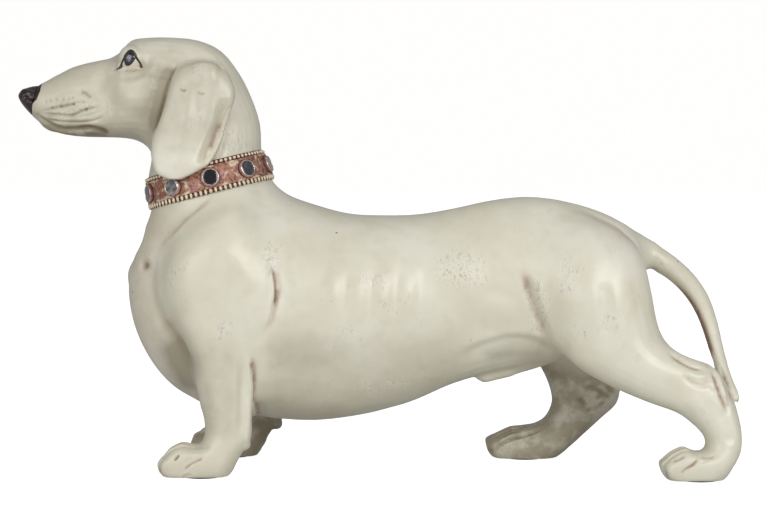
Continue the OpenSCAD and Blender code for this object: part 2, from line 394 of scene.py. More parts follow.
@dataclass(frozen=True)
class CupMetal:
    """Worn silver over copper."""

    name: str = "cup_metal"
    silver: tuple = srgb(226, 222, 214)
    dull: tuple = srgb(160, 140, 128)
    copper: tuple = srgb(184, 134, 120)
    rose: tuple = srgb(148, 98, 90)
    deep: tuple = srgb(72, 42, 40)

    def material(self) -> bpy.types.Material:
        """Builds the metal.

        Returns:
            The material.
        """
        f = Finish(self.name)
        wear = f.noise(1.3, 3, 0.6)
        fine = f.noise(0.4, 2, 0.6)
        skirt = f.painted("skirt").above(0.3, 0.7)
        bright = f.blend(wear.above(0.5, 0.72), self.silver, self.dull)
        painted = f.blend(wear.above(0.42, 0.6), self.copper, self.rose)
        painted = f.blend(f.painted("gap").above(0.2, 0.8) * 0.8, painted, self.deep)
        f.wire("Base Color", f.blend(skirt, bright, painted))
        f.wire("Metallic", 1.0 - skirt * 0.6)
        f.wire("Roughness", 0.2 + wear * 0.18 + skirt * 0.2)
        f.bump(wear * 0.6 + fine * 0.4, 0.06, 0.6)
        return f.material


@dataclass(frozen=True)
class StoneGlass:
    """Foil-backed smoky glass."""

    name: str = "stone_glass"
    tone: tuple = srgb(70, 74, 76)
    light: tuple = srgb(100, 104, 106)
    metal: float = 0.55

    def material(self) -> bpy.types.Material:
        """Builds the glass.

        Returns:
            The material.
        """
        f = Finish(self.name)
        cloud = f.noise(2.5, 2, 0.6)
        fine = f.noise(0.5, 2, 0.5)
        f.wire("Base Color", f.blend(cloud.above(0.4, 0.7), self.tone, self.light))
        f.wire("Metallic", self.metal)
        f.wire("Roughness", 0.08 + fine * 0.1)
        f.wire("Coat Weight", 1.0)
        f.wire("Coat Roughness", 0.03)
        f.bump(cloud, 0.05, 0.4)
        return f.material


@dataclass(frozen=True)
class PadFelt:
    """Brown self-adhesive felt."""

    name: str = "pad_felt"
    brown: tuple = srgb(136, 125, 110)
    dark: tuple = srgb(94, 84, 72)

    def material(self) -> bpy.types.Material:
        """Builds the felt.

        Returns:
            The material.
        """
        f = Finish(self.name)
        fibre = f.noise(0.35, 4, 0.7, 1.5)
        f.wire("Base Color", f.blend(fibre.above(0.35, 0.65), self.dark, self.brown))
        f.wire("Roughness", 0.95)
        f.wire("Sheen Weight", 0.4)
        f.bump(fibre, 0.25, 0.9)
        return f.material


# ------------------------------------------------------------------ mesh helpers


def new_piece(name: str, source: bmesh.types.BMesh, smooth: bool = True) -> bpy.types.Object:
    """Makes a scene object from a bmesh in metres and frees the bmesh.

    Args:
        name: the piece's name.
        source: its shape.
        smooth: shades its faces smooth.

    Returns:
        The object.
    """
    mesh = bpy.data.meshes.new(name)
    source.to_mesh(mesh)
    source.free()
    mesh.polygons.foreach_set("use_smooth", [smooth] * len(mesh.polygons))
    obj = bpy.data.objects.new(name, mesh)
    bpy.context.scene.collection.objects.link(obj)
    return obj


def node_copy(name: str) -> bmesh.types.BMesh:
    """A merged copy of a frame node's mesh.

    Args:
        name: the frame node's name.

    Returns:
        The merged copy.
    """
    copy = bmesh.new()
    copy.from_mesh(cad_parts[name].data)
    bmesh.ops.remove_doubles(copy, verts=copy.verts, dist=0.00001)
    return copy


def node_tree(name: str) -> BVHTree:
    """A search tree over a frame node's surface.

    Args:
        name: the frame node's name.

    Returns:
        The search tree, in millimetres.
    """
    copy = node_copy(name)
    found = BVHTree.FromBMesh(copy)
    copy.free()
    return found


def joined(parts: Iterable[bmesh.types.BMesh]) -> bmesh.types.BMesh:
    """Puts several shapes in one bmesh and frees them.

    Args:
        parts: the shapes, which are used up.

    Returns:
        One bmesh that holds them all.
    """
    whole = bmesh.new()
    for part in parts:
        mesh = bpy.data.meshes.new("part")
        part.to_mesh(mesh)
        part.free()
        whole.from_mesh(mesh)
        bpy.data.meshes.remove(mesh)
    return whole


def remeshed(shape: bmesh.types.BMesh, grain: float) -> bpy.types.Mesh:
    """Fuses overlapping closed shapes into one even skin and keeps its largest shell.

    Args:
        shape: the shapes, which are freed.
        grain: the width of a face in millimetres.

    Returns:
        The skin.
    """
    block = new_piece("block", shape)
    modifier = block.modifiers.new("fuse", "REMESH")
    modifier.mode = "VOXEL"
    modifier.voxel_size = grain * MM
    bpy.context.view_layer.update()
    skin = bpy.data.meshes.new_from_object(block.evaluated_get(bpy.context.evaluated_depsgraph_get()))
    bpy.data.objects.remove(block)
    keep_largest(skin)
    return skin


def shells(count: int, ends: np.ndarray) -> np.ndarray:
    """Gives the points of each connected part the same number.

    Args:
        count: how many points there are.
        ends: the two points of each edge.

    Returns:
        One number per point.
    """
    label = np.arange(count)
    while True:
        low = np.minimum(label[ends[:, 0]], label[ends[:, 1]])
        fresh = label.copy()
        np.minimum.at(fresh, ends[:, 0], low)
        np.minimum.at(fresh, ends[:, 1], low)
        fresh = fresh[fresh]
        if np.array_equal(fresh, label):
            return label
        label = fresh


def largest(mask: np.ndarray, ends: np.ndarray) -> np.ndarray:
    """The largest connected part of the points in a mask.

    Args:
        mask: the points to look among.
        ends: each edge's two points.

    Returns:
        A mask of that part.
    """
    inside = mask[ends[:, 0]] & mask[ends[:, 1]]
    label = shells(len(mask), ends[inside])
    names, sizes = np.unique(label[mask], return_counts=True)
    return mask & (label == names[np.argmax(sizes)])


def keep_largest(mesh: bpy.types.Mesh) -> None:
    """Deletes every loose part of a mesh but the largest.

    Args:
        mesh: the mesh to clean.
    """
    ends = np.empty(len(mesh.edges) * 2, np.int64)
    mesh.edges.foreach_get("vertices", ends)
    main = largest(np.ones(len(mesh.vertices), bool), ends.reshape(-1, 2))
    work = bmesh.new()
    work.from_mesh(mesh)
    work.verts.ensure_lookup_table()
    bmesh.ops.delete(work, geom=[work.verts[i] for i in np.nonzero(~main)[0]], context="VERTS")
    work.to_mesh(mesh)
    work.free()


def refine(mesh: bpy.types.Mesh, inside: Callable[[Vector], bool]) -> None:
    """Halves the faces of part of a skin, where finer work is coming.

    Args:
        mesh: the skin.
        inside: says whether a point in metres belongs to that part.
    """
    work = bmesh.new()
    work.from_mesh(mesh)
    chosen = {v for v in work.verts if inside(v.co)}
    edges = [e for e in work.edges if e.verts[0] in chosen and e.verts[1] in chosen]
    bmesh.ops.subdivide_edges(work, edges=edges, cuts=1, use_grid_fill=True)
    work.to_mesh(mesh)
    work.free()


def smooth_step(value: np.ndarray, low: float, high: float) -> np.ndarray:
    """Rises smoothly from 0 at low to 1 at high."""
    t = np.clip((value - low) / (high - low), 0.0, 1.0)
    return t * t * (3 - 2 * t)


def curve_points(points: Sequence[Sequence[float]], pace: float = 0.7) -> np.ndarray:
    """A smooth line through a few points.

    Args:
        points: the points, in millimetres.
        pace: the distance between the points of the result.

    Returns:
        The points along the line.
    """
    p = np.array(points, float)
    if len(p) < 3:
        count = max(2, int(np.linalg.norm(p[-1] - p[0]) / pace))
        return np.linspace(p[0], p[-1], count)
    ends = np.vstack([2 * p[0] - p[1], p, 2 * p[-1] - p[-2]])
    line = []
    for i in range(len(p) - 1):
        a, b, c, d = ends[i:i + 4]
        count = max(2, int(np.linalg.norm(c - b) / pace))
        t = np.linspace(0, 1, count, endpoint=False)[:, None]
        line.append(0.5 * (2 * b + (c - a) * t + (2 * a - 5 * b + 4 * c - d) * t**2
                           + (3 * b - a - 3 * c + d) * t**3))
    line.append(p[-1:])
    return np.vstack(line)


class Clay:
    """A skin that is worked like clay. Every length is in millimetres."""

    def __init__(self, name: str, skin: bpy.types.Mesh) -> None:
        """Reads the skin's points and neighbours.

        Args:
            name: what the log calls it.
            skin: the mesh to work on.
        """
        self.name = name
        self.mesh = skin
        count = len(skin.vertices)
        flat = np.empty(count * 3)
        skin.vertices.foreach_get("co", flat)
        self.co = flat.reshape(-1, 3) / MM
        ends = np.empty(len(skin.edges) * 2, np.int64)
        skin.edges.foreach_get("vertices", ends)
        self.ends = ends.reshape(-1, 2)
        self.degree = np.bincount(ends, minlength=count).astype(float)
        skin.calc_loop_triangles()
        tris = np.empty(len(skin.loop_triangles) * 3, np.int64)
        skin.loop_triangles.foreach_get("vertices", tris)
        self.tris = tris.reshape(-1, 3)
        self.paint: dict[str, np.ndarray] = {}
        self.normal = self.normals()

    def normals(self) -> np.ndarray:
        """The unit normals of the points."""
        a, b, c = (self.co[self.tris[:, k]] for k in range(3))
        face = np.cross(b - a, c - a)
        total = np.zeros_like(self.co)
        for k in range(3):
            for axis in range(3):
                total[:, axis] += np.bincount(self.tris[:, k], weights=face[:, axis], minlength=len(self.co))
        length = np.linalg.norm(total, axis=1, keepdims=True)
        return total / np.maximum(length, 1e-12)

    def mean(self, values: np.ndarray) -> np.ndarray:
        """The mean of each point's neighbours.

        Args:
            values: one value or row per point.

        Returns:
            The means, one per point.
        """
        one, two = self.ends[:, 0], self.ends[:, 1]
        flat = values.reshape(len(values), -1)
        total = np.empty_like(flat)
        for k in range(flat.shape[1]):
            total[:, k] = np.bincount(one, weights=flat[two, k], minlength=len(flat))
            total[:, k] += np.bincount(two, weights=flat[one, k], minlength=len(flat))
        return (total / self.degree[:, None]).reshape(values.shape)

    def spread(self, values: np.ndarray, rounds: int) -> np.ndarray:
        """Blurs painted values over the skin."""
        for _ in range(rounds):
            values = 0.5 * values + 0.5 * self.mean(values)
        return values

    def smooth(self, rounds: int, share: Any = 1.0, keep_size: bool = True) -> None:
        """Evens the skin out.

        Args:
            rounds: how many times.
            share: how much each point takes part, from 0 to 1.
            keep_size: puffs the skin back so that it doesn't shrink.
        """
        weight = np.broadcast_to(np.asarray(share, float), (len(self.co),))[:, None]
        for _ in range(rounds):
            self.co += 0.5 * weight * (self.mean(self.co) - self.co)
            if keep_size:
                self.co -= 0.52 * weight * (self.mean(self.co) - self.co)
        self.normal = self.normals()

    def facing(self, side: Side) -> np.ndarray:
        """How much each point belongs to a side of the dog and faces it."""
        if side is Side.BOTH:
            return np.ones(len(self.co))
        return smooth_step(self.normal[:, 1] * side.value, 0.02, 0.3) * (self.co[:, 1] * side.value > -4)

    def move(self, weight: np.ndarray, height: float) -> None:
        """Moves the points along their normals."""
        self.co += self.normal * (weight * height)[:, None]
        self.normal = self.normals()

    def press(self, centre: Sequence[float], size: Sequence[float], height: float, side: Side = Side.LEFT,
              lean: float = 0.0) -> None:
        """Raises or sinks an oval seen from the side of the dog.

        Args:
            centre: x and z of its middle.
            size: its half width and half height.
            height: how far it moves at its middle; below 0 it sinks.
            side: the side it is on.
            lean: its turn in degrees, from upright towards the tail.
        """
        turn = math.radians(lean)
        dx = self.co[:, 0] - centre[0]
        dz = self.co[:, 2] - centre[1]
        u = (dx * math.cos(turn) - dz * math.sin(turn)) / size[0]
        v = (dx * math.sin(turn) + dz * math.cos(turn)) / size[1]
        weight = np.clip(1 - u * u - v * v, 0, 1) ** 2 * self.facing(side)
        self.move(weight, height)

    def lump(self, centre: Sequence[float], size: Sequence[float], height: float) -> None:
        """Raises or sinks the skin round a point in space."""
        offset = (self.co - np.array(centre)) / np.array(size)
        self.move(np.clip(1 - (offset**2).sum(1), 0, 1) ** 2, height)

    def reach(self, points: Sequence[Sequence[float]], width: float, taper: bool = True) -> np.ndarray:
        """How near each point is to a line.

        Args:
            points: the line's points; those of (x, z) are seen from the side.
            width: where the weight ends.
            taper: whether the line thins to its ends.

        Returns:
            One weight per point, 1 on the line and 0 beyond its width.
        """
        line = curve_points(points)
        flat = self.co[:, [0, 2]] if line.shape[1] == 2 else self.co
        low, high = line.min(0) - width, line.max(0) + width
        near = np.nonzero(((flat > low) & (flat < high)).all(1))[0]
        found = np.zeros(len(flat))
        if not len(near):
            return found
        best = np.full(len(near), 1e9)
        where = np.zeros(len(near))
        for index, spot in enumerate(line):
            distance = ((flat[near] - spot) ** 2).sum(1)
            closer = distance < best
            best[closer] = distance[closer]
            where[closer] = index
        share = np.clip(1 - best / width**2, 0, 1) ** 2
        if taper:
            along = where / (len(line) - 1)
            share *= np.clip(np.minimum(along, 1 - along) * 5 + 0.15, 0, 1)
        found[near] = share
        return found

    def stroke(self, points: Sequence[Sequence[float]], width: float, height: float, side: Side = Side.LEFT,
               wash: float = 0.0, zone: Any = 1.0, taper: bool = True) -> None:
        """Draws a ridge or a groove.

        Args:
            points: the line, as (x, z) seen from the side or (x, y, z).
            width: how far from the line it fades out.
            height: its height; a groove is below 0.
            side: the side it is on.
            wash: how much brown wash, which also serves as painted shade, is painted in it.
            zone: where it may act, as a share per point.
            taper: fades both ends out.
        """
        share = self.reach(points, width, taper) * self.facing(side) * zone
        if height:
            self.move(share, height)
        if wash:
            self.daub("wash", share**2 * wash)

    def ledge(self, points: Sequence[Point2], rise: float, fall: float, side: Side, soft: float = 1.5,
              widths: Point2 = (14.0, 14.0), wash: float = 0.0, zone: Any = 1.0) -> None:
        """Steps the skin along a line: it rises on the line's left and falls on its right.

        Args:
            points: the line, as (x, z) seen from the dog's left.
            rise: how far the left of the line rises.
            fall: how far the right of the line falls.
            side: the side it is on.
            soft: half the width of the step.
            widths: how far the rise and the fall fade out from the line.
            wash: how much brown wash, which also serves as painted shade, is painted at its foot.
            zone: where it may act, as a share per point.
        """
        line = curve_points(points)
        tangent = np.gradient(line, axis=0)
        flat = self.co[:, [0, 2]]
        margin = max(widths)
        near = np.nonzero(((flat > line.min(0) - margin) & (flat < line.max(0) + margin)).all(1))[0]
        best = np.full(len(near), 1e9)
        where = np.zeros(len(near), int)
        for index, spot in enumerate(line):
            distance = ((flat[near] - spot) ** 2).sum(1)
            closer = distance < best
            best[closer] = distance[closer]
            where[closer] = index
        offset = flat[near] - line[where]
        left = np.sign(tangent[where, 0] * offset[:, 1] - tangent[where, 1] * offset[:, 0])
        away = left * np.sqrt(best)
        along = where / (len(line) - 1)
        ends = smooth_step(np.minimum(along, 1 - along), -0.02, 0.22)
        up = smooth_step(away, -soft, soft) * np.clip(1 - away / widths[0], 0, 1) ** 1.5
        down = smooth_step(-away, -soft, soft) * np.clip(1 + away / widths[1], 0, 1) ** 1.5
        shift = np.zeros(len(flat))
        shift[near] = ends * (rise * up - fall * down)
        self.move(shift * self.facing(side) * zone, 1.0)
        foot = np.zeros(len(flat))
        foot[near] = ends * np.clip(1 - np.abs(away + soft * 0.8) / (soft + 0.6), 0, 1) ** 2
        self.daub("wash", foot * wash * self.facing(side) * zone)

    def daub(self, name: str, amount: np.ndarray) -> None:
        """Adds paint to a layer."""
        self.paint[name] = self.paint.get(name, np.zeros(len(self.co))) + amount

    def hollowness(self, rounds: int) -> np.ndarray:
        """How deep each point lies in a crease, from the skin's own curvature in millimetres.

        Args:
            rounds: how many rounds of smoothing it is measured against.

        Returns:
            One depth per point, below 0 on ridges.
        """
        soft = self.co.copy()
        for _ in range(rounds):
            soft = self.mean(soft)
        return ((soft - self.co) * self.normal).sum(1)

    def finish(self) -> bpy.types.Mesh:
        """Writes the points and the paint back.

        Returns:
            The mesh.
        """
        self.mesh.vertices.foreach_set("co", (self.co * MM).ravel())
        for name, values in self.paint.items():
            layer = self.mesh.attributes.new(name, "FLOAT", "POINT")
            layer.data.foreach_set("value", np.clip(values, 0, 4).astype(np.float32))
        self.mesh.update()
        log.info("%s: %d points", self.name, len(self.co))
        return self.mesh


def distance_to(tree: BVHTree, points: np.ndarray, most: float) -> np.ndarray:
    """The distance from each point to a surface, in millimetres, no more than most.

    Args:
        tree: the surface's search tree.
        points: the points.
        most: the greatest distance looked for.

    Returns:
        One distance per point.
    """
    found = np.full(len(points), most)
    for index, point in enumerate(points * MM):
        hit = tree.find_nearest(Vector(point), most * MM)
        if hit[3] is not None:
            found[index] = hit[3] / MM
    return found


def part_castings(clay: "Clay", main: str, limbs: Sequence[str],
                  finish: bpy.types.Material) -> list[bpy.types.Object]:
    """Parts a worked skin into its castings along the luted joins, closes each and dresses it.

    Args:
        clay: the finished clay.
        main: the frame node of the main casting.
        limbs: the frame nodes of the castings luted to it.
        finish: the glaze.

    Returns:
        The main casting and then the limbs.
    """
    skin = clay.finish()
    owner = np.zeros(len(clay.co), int)
    trunk = node_tree(main)
    for number, name in enumerate(limbs, 1):
        low, high = (np.array(corner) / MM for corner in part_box(name))
        near = np.nonzero(((clay.co > low - 5) & (clay.co < high + 5)).all(1))[0]
        lead = np.full(len(clay.co), -8.0)
        lead[near] = distance_to(trunk, clay.co[near], 16) - distance_to(node_tree(name), clay.co[near], 16)
        owner[largest(clay.spread(lead, 14) > 0, clay.ends)] = number
    rest = largest(owner == 0, clay.ends)
    lost = np.nonzero((owner == 0) & ~rest)[0]
    for _ in range(60):
        if not len(lost):
            break
        for one, two in ((0, 1), (1, 0)):
            touching = np.isin(clay.ends[:, one], lost) & (owner[clay.ends[:, two]] > 0)
            owner[clay.ends[touching, one]] = owner[clay.ends[touching, two]]
        lost = lost[owner[lost] == 0]
    layer = skin.attributes.new("shade", "FLOAT_VECTOR", "POINT")
    layer.data.foreach_set("vector", clay.normal.astype(np.float32).ravel())
    castings = []
    for number, name in enumerate((main, *limbs)):
        work = bmesh.new()
        work.from_mesh(skin)
        spare = []
        for face in work.faces:
            if min(int(owner[v.index]) for v in face.verts) != number:
                spare.append(face)
        bmesh.ops.delete(work, geom=spare, context="FACES")
        shade_of = work.verts.layers.float_vector["shade"]
        rim = bmesh.ops.extrude_edge_only(work, edges=[e for e in work.edges if e.is_boundary])["geom"]
        for vert in (v for v in rim if isinstance(v, bmesh.types.BMVert)):
            vert.co -= vert[shade_of] * MM
        lids = bmesh.ops.holes_fill(work, edges=[e for e in work.edges if e.is_boundary], sides=0)["faces"]
        bmesh.ops.triangulate(work, faces=lids)
        bmesh.ops.recalc_face_normals(work, faces=work.faces)
        if work.calc_volume(signed=True) < 0:
            bmesh.ops.reverse_faces(work, faces=work.faces)
        piece = new_piece(f"{name}_casting", work)
        shade = np.empty(len(piece.data.vertices) * 3, np.float32)
        piece.data.attributes["shade"].data.foreach_get("vector", shade)
        piece.data.attributes.remove(piece.data.attributes["shade"])
        normals = [tuple(map(float, normal)) for normal in shade.reshape(-1, 3)]
        piece.data.normals_split_custom_set_from_vertices(normals)
        castings.append(place_piece(piece, "cream_glaze", finish, name))
    bpy.data.meshes.remove(skin)
    return castings


def place_piece(obj: bpy.types.Object, slot: str, material: bpy.types.Material,
                *nodes: str) -> bpy.types.Object:
    """Dresses a finished piece and ties it to the frame.

    Args:
        obj: the piece.
        slot: the material slot's name; not used.
        material: its finish.
        nodes: the frame nodes it stands for.

    Returns:
        The piece.
    """
    obj.data.materials.clear()
    obj.data.materials.append(material)
    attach(obj, BODY)
    if nodes:
        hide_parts(*nodes)
    log.info("%s: %d faces", obj.name, len(obj.data.polygons))
    return obj


# ------------------------------------------------------------------ the collar's own frame


@dataclass(frozen=True)
class NeckRing:
    """The tilted frame of the collar: turns are about the neck, heights are along it."""

    centre: Point3 = (-93.6, 0.0, 160.2)
    tilt: float = 14.5
    neck: float = 33.6
    taper: float = 0.12

    def matrix(self) -> Matrix:
        """From the collar's frame, in millimetres, to the dog's, in metres."""
        turn = Matrix.Rotation(math.radians(-self.tilt), 4, "Y")
        return Matrix.Scale(MM, 4) @ Matrix.Translation(self.centre) @ turn

    def radius(self, height: float) -> float:
        """The neck's radius at a height along it."""
        return self.neck - self.taper * height

    def lathe(self, profile: Sequence[Point2], steps: int = 180) -> bmesh.types.BMesh:
        """Turns a closed profile of (radius, height) points round the neck.

        Args:
            profile: the profile's corners in order.
            steps: the faces round the neck.

        Returns:
            The ring, in the dog's frame.
        """
        ring = bmesh.new()
        corners = [ring.verts.new((r, 0.0, h)) for r, h in profile]
        edges = [ring.edges.new((corners[i - 1], corners[i])) for i in range(len(corners))]
        bmesh.ops.spin(ring, geom=corners + edges, cent=(0, 0, 0), axis=(0, 0, 1), angle=math.tau,
                       steps=steps,
                       use_merge=True)
        bmesh.ops.remove_doubles(ring, verts=ring.verts, dist=0.001)
        bmesh.ops.recalc_face_normals(ring, faces=ring.faces)
        ring.transform(self.matrix())
        return ring

    def plug(self, low: float, high: float, margin: float) -> bmesh.types.BMesh:
        """A round stopper inside the neck, between two heights.

        Args:
            low: the stopper's foot.
            high: the stopper's top.
            margin: how far it stays inside the neck's skin.

        Returns:
            The stopper.
        """
        stopper = bmesh.new()
        radius = self.radius(0) - margin
        bmesh.ops.create_cone(stopper, cap_ends=True, segments=64, radius1=radius, radius2=radius,
                              depth=high - low,
                              matrix=Matrix.Translation((0, 0, (low + high) / 2)))
        stopper.transform(self.matrix())
        return stopper


NECK = NeckRing()


# ------------------------------------------------------------------ the body casting


@dataclass
class BodyCasting:
    """Trunk, legs and tail, luted together and glazed as one skin. Lengths are in millimetres."""

    finish: bpy.types.Material
    grain: float = 1.12
    vent: Point3 = (8.0, 0.0, 40.0)
    vent_width: float = 6.0
    stagger: float = 10.0
    main: str = "trunk_shell"
    limbs: tuple[str, ...] = ("left_foreleg", "right_foreleg", "left_hind_leg", "right_hind_leg", "tail")

    def build(self) -> list[bpy.types.Object]:
        """Lutes the castings together, works the skin and parts it again.

        Returns:
            The castings.
        """
        plug = bmesh.new()
        bmesh.ops.create_cone(plug, cap_ends=True, segments=24, radius1=self.vent_width * 0.6 * MM,
                              radius2=self.vent_width * 0.6 * MM, depth=0.006,
                              matrix=Matrix.Translation(Vector(self.vent) * MM))
        parts = [node_copy(name) for name in (self.main, *self.limbs)] + [plug, NECK.plug(-7, -0.3, 2.0)]
        skin = remeshed(joined(parts), self.grain)
        refine(skin, lambda p: p.z < 0.0225)
        clay = Clay("body", skin)
        self.blend_joins(clay)
        self.model_forequarters(clay)
        self.model_trunk(clay)
        self.model_hindquarters(clay)
        self.model_paws(clay)
        self.keep_in_box(clay)
        self.antique(clay)
        return part_castings(clay, self.main, self.limbs, self.finish)

    def keep_in_box(self, clay: Clay) -> None:
        """Eases the broadest and rearmost skin in, so that it stays inside the castings' own box.

        Args:
            clay: the skin being worked.
        """
        y = clay.co[:, 1]
        over = np.maximum(np.abs(y) - 53.5, 0)
        clay.co[:, 1] = np.sign(y) * (np.minimum(np.abs(y), 53.5) + 2.3 * (1 - np.exp(-over / 2.3)))
        x = clay.co[:, 0]
        over = np.maximum(x - 197.6, 0)
        clay.co[:, 0] = np.minimum(x, 197.6) + 1.4 * (1 - np.exp(-over / 1.4))
        clay.normal = clay.normals()

    def blend_joins(self, clay: Clay) -> None:
        """Smooths the luted joins away.

        Args:
            clay: the skin being worked.
        """
        clay.smooth(30)
        trunk = node_tree("trunk_shell")
        x, y, z = clay.co.T
        legs = smooth_step(70 - z, 0, 8) * smooth_step(np.abs(y), 20, 28)
        legs = legs * np.maximum(smooth_step(-55 - x, 0, 6), smooth_step(x - 58, 0, 8))
        sheath = smooth_step(20 - np.hypot(x - 62, z - 50), 0, 6)
        barrel = smooth_step(z, 27, 31) * smooth_step(132 - x, 0, 12) * (1 - np.maximum(legs, sheath))
        clay.smooth(70, clay.spread(barrel, 6), keep_size=False)
        share = np.zeros(len(clay.co))
        reach = {"left_foreleg": 12, "right_foreleg": 12, "left_hind_leg": 16, "right_hind_leg": 16,
                 "tail": 7}
        for name, width in reach.items():
            low, high = (np.array(corner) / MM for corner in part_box(name))
            near = np.nonzero(((clay.co > low - width) & (clay.co < high + width)).all(1))[0]
            limb = distance_to(node_tree(name), clay.co[near], width)
            still = near[limb < width]
            both = np.maximum(limb[limb < width], distance_to(trunk, clay.co[still], width))
            share[still] = np.maximum(share[still], smooth_step(1 - both / width, 0.0, 0.7))
        clay.smooth(170, clay.spread(share, 4), keep_size=False)

    def model_forequarters(self, clay: Clay) -> None:
        """Shoulders, breast and forearms.

        Args:
            clay: the skin being worked.
        """
        for side, shift in ((Side.LEFT, 0.0), (Side.RIGHT, self.stagger)):
            def at(*points: Point2) -> list[Point2]:
                """Moves points with the leg."""
                return [(x + shift, z) for x, z in points]
            clay.press(at((-86, 112))[0], (30, 34), 1.2, side)
            clay.press(at((-66, 104))[0], (14, 26), 0.8, side)
            # the step from the shoulder down to the breast, from the collar to the leg
            edge = at((-86, 153), (-96, 145), (-104, 138.5), (-112.5, 129), (-118, 119), (-119.6, 109),
                      (-119, 100),
                      (-116, 89.5), (-110.8, 80.5), (-105, 74.5), (-101.5, 67), (-98, 57))
            clay.ledge(edge[:5], 0.7, 0.9, side, 2.6, (14, 14), wash=0.05)
            clay.ledge(edge[4:], 1.1, 2.4, side, 2.4, (16, 17), wash=0.05)
            # a hollow in front of the leg, whose wash partly stands for painted shade there
            clay.stroke(at((-115, 90), (-110, 80), (-104, 72), (-100, 62), (-97, 50)), 9, -2.0, side,
                        wash=0.3)
            clay.smooth(28, clay.reach(edge[5:], 7, False), keep_size=False)
            # painted shadow on the breast in front of the leg and inside it
            low = clay.reach(at((-108, 76), (-102, 60), (-97, 46)), 13)
            low = low * smooth_step(46 - np.abs(clay.co[:, 1]), 0, 12)
            clay.daub("grime_and_shade", clay.spread(low * clay.facing(side), 8) * 0.6)
            breast = clay.reach(at((-116, 84), (-109, 72), (-103, 58)), 12)
            clay.daub("grime_and_shade", breast * clay.facing(side) * 0.4)
            inner = clay.reach(at((-112, 74), (-106, 58), (-100, 42)), 14) * clay.facing(side)
            clay.daub("grime_and_shade", inner * smooth_step(37 - np.abs(clay.co[:, 1]), 0, 10) * 0.55)
            clay.stroke(at((-90, 150.5), (-97, 144), (-104, 138), (-112, 129)), 1.8, -0.5, side, wash=0.35)
            throat = clay.reach(at((-101, 146), (-111, 136), (-120, 124)), 11)
            clay.daub("wash", throat * clay.facing(side) * 0.22)
            # groove behind the shoulder
            back = at((-60, 77), (-56, 86), (-53.6, 95), (-52, 102), (-53, 110), (-55, 119))
            clay.ledge(back, 1.0, 1.3, side, 1.4, (12, 9), wash=0.1)
            clay.stroke(at((-55.6, 117), (-53.6, 109), (-52.9, 101), (-54, 92)), 1.5, -1.3, side, wash=1.3)
            clay.stroke(at((-57.2, 114), (-55.3, 107), (-54.7, 99), (-55.8, 92)), 1.5, 0.8, side)
            # the back edge of the forearm, proud of the belly
            rear = at((-66.8, 12), (-66.4, 24), (-65.6, 38), (-65.0, 50), (-65.4, 60), (-66.8, 69))
            clay.ledge(rear, 1.3, 2.2, side, 1.2, (7, 9), wash=0.3)
            clay.stroke(at((-67.4, 66), (-66.6, 56), (-66.8, 45), (-67.6, 30), (-68, 18)), 1.8, 1.0, side)
            clay.stroke(at((-71, 66), (-70.8, 55), (-70.8, 42), (-71.2, 24)), 3.0, -0.9, side)
            clay.stroke(at((-66.2, 64), (-65.4, 57), (-65.2, 51)), 1.3, -0.8, side, wash=0.9)
            clay.stroke(at((-101, 60), (-96.5, 45), (-93.5, 32)), 7, 0.9, side)
            clay.press(at((-84, 40))[0], (8, 22), 0.7, side)
        clay.lump((-139, 0, 109), (12, 18, 9), 1.5)
        clay.lump((-135, 0, 128), (12, 20, 11), -2.2)
        clay.lump((-138, 0, 88), (9, 7, 16), -0.6)
        # the far leg's heel, which juts out behind
        clay.lump((-56, 41, 23), (8, 14, 8), 2.2)
        clay.lump((-56.5, 40, 18.5), (5, 13, 4.5), 2.4)
        clay.lump((-61, 41, 6.5), (5, 14, 5), 1.5)
        clay.lump((-104, 36, 12), (5, 12, 4.5), 2.2)
        # the near heel's corner and the chest's own line
        clay.lump((-68, -41, 16.5), (5, 12, 4), 1.6)
        for y in (-24, 24):
            dimple = (-125.5, y, 113.5)
            clay.lump(dimple, (6.5, 8, 5.2), -1.9)
            spot = np.clip(1 - (((clay.co - np.array(dimple)) / np.array((6, 12, 5))) ** 2).sum(1), 0, 1)
            clay.daub("wash", spot * 0.16)

    def model_trunk(self, clay: Clay) -> None:
        """Ribs, loin, flank fold and belly.

        Args:
            clay: the skin being worked.
        """
        for side in (Side.LEFT, Side.RIGHT):
            for x, tall in ((-22.5, 10), (-8.5, 13), (4.5, 13), (18, 11)):
                clay.press((x, 101), (7.4, tall * 1.6), 0.7, side, 6)
                clay.press((x + 6.8, 101), (5.4, tall * 1.4), -0.25, side, 6)
            clay.press((46, 110), (30, 18), 1.2, side, 60)
            clay.press((66, 90), (15, 12), 1.6, side, 20)
            # the skin fold from the belly to the stifle, with the belly set back under it
            edge = [(44, 65), (54, 70.5), (64, 74.5), (76, 77), (91, 73.5), (104, 65)]
            clay.ledge(edge, 0.9, 1.5, side, 3.4, (11, 17), wash=0.02)
            # painted shade on the belly under the fold
            clay.daub("grime_and_shade", clay.reach([(60, 62), (74, 68), (96, 65)], 9) * clay.facing(side) * 0.35)
            clay.stroke([(60, 60), (76, 62.5), (92, 60)], 7, -0.7, side)
            # croup
            clay.stroke([(104, 149), (116, 145), (131, 138.5), (143, 129)], 4.5, -1.0, side, wash=0.08)
            crease = [(115, 144.4), (131, 137.8), (138, 132.2), (143, 127.9), (145.7, 123.1), (149, 116.5)]
            clay.stroke(crease, 1.8, -1.0, side, wash=0.4)
            clay.press((118, 132), (22, 14), 1.0, side, 70)
        clay.lump((61.5, 0, 50), (6, 9, 4.5), 1.0)
        clay.lump((55, 0, 150), (85, 30, 18), 0.5)
        clay.lump((15, 0, 40), (48, 26, 16), 0.6)
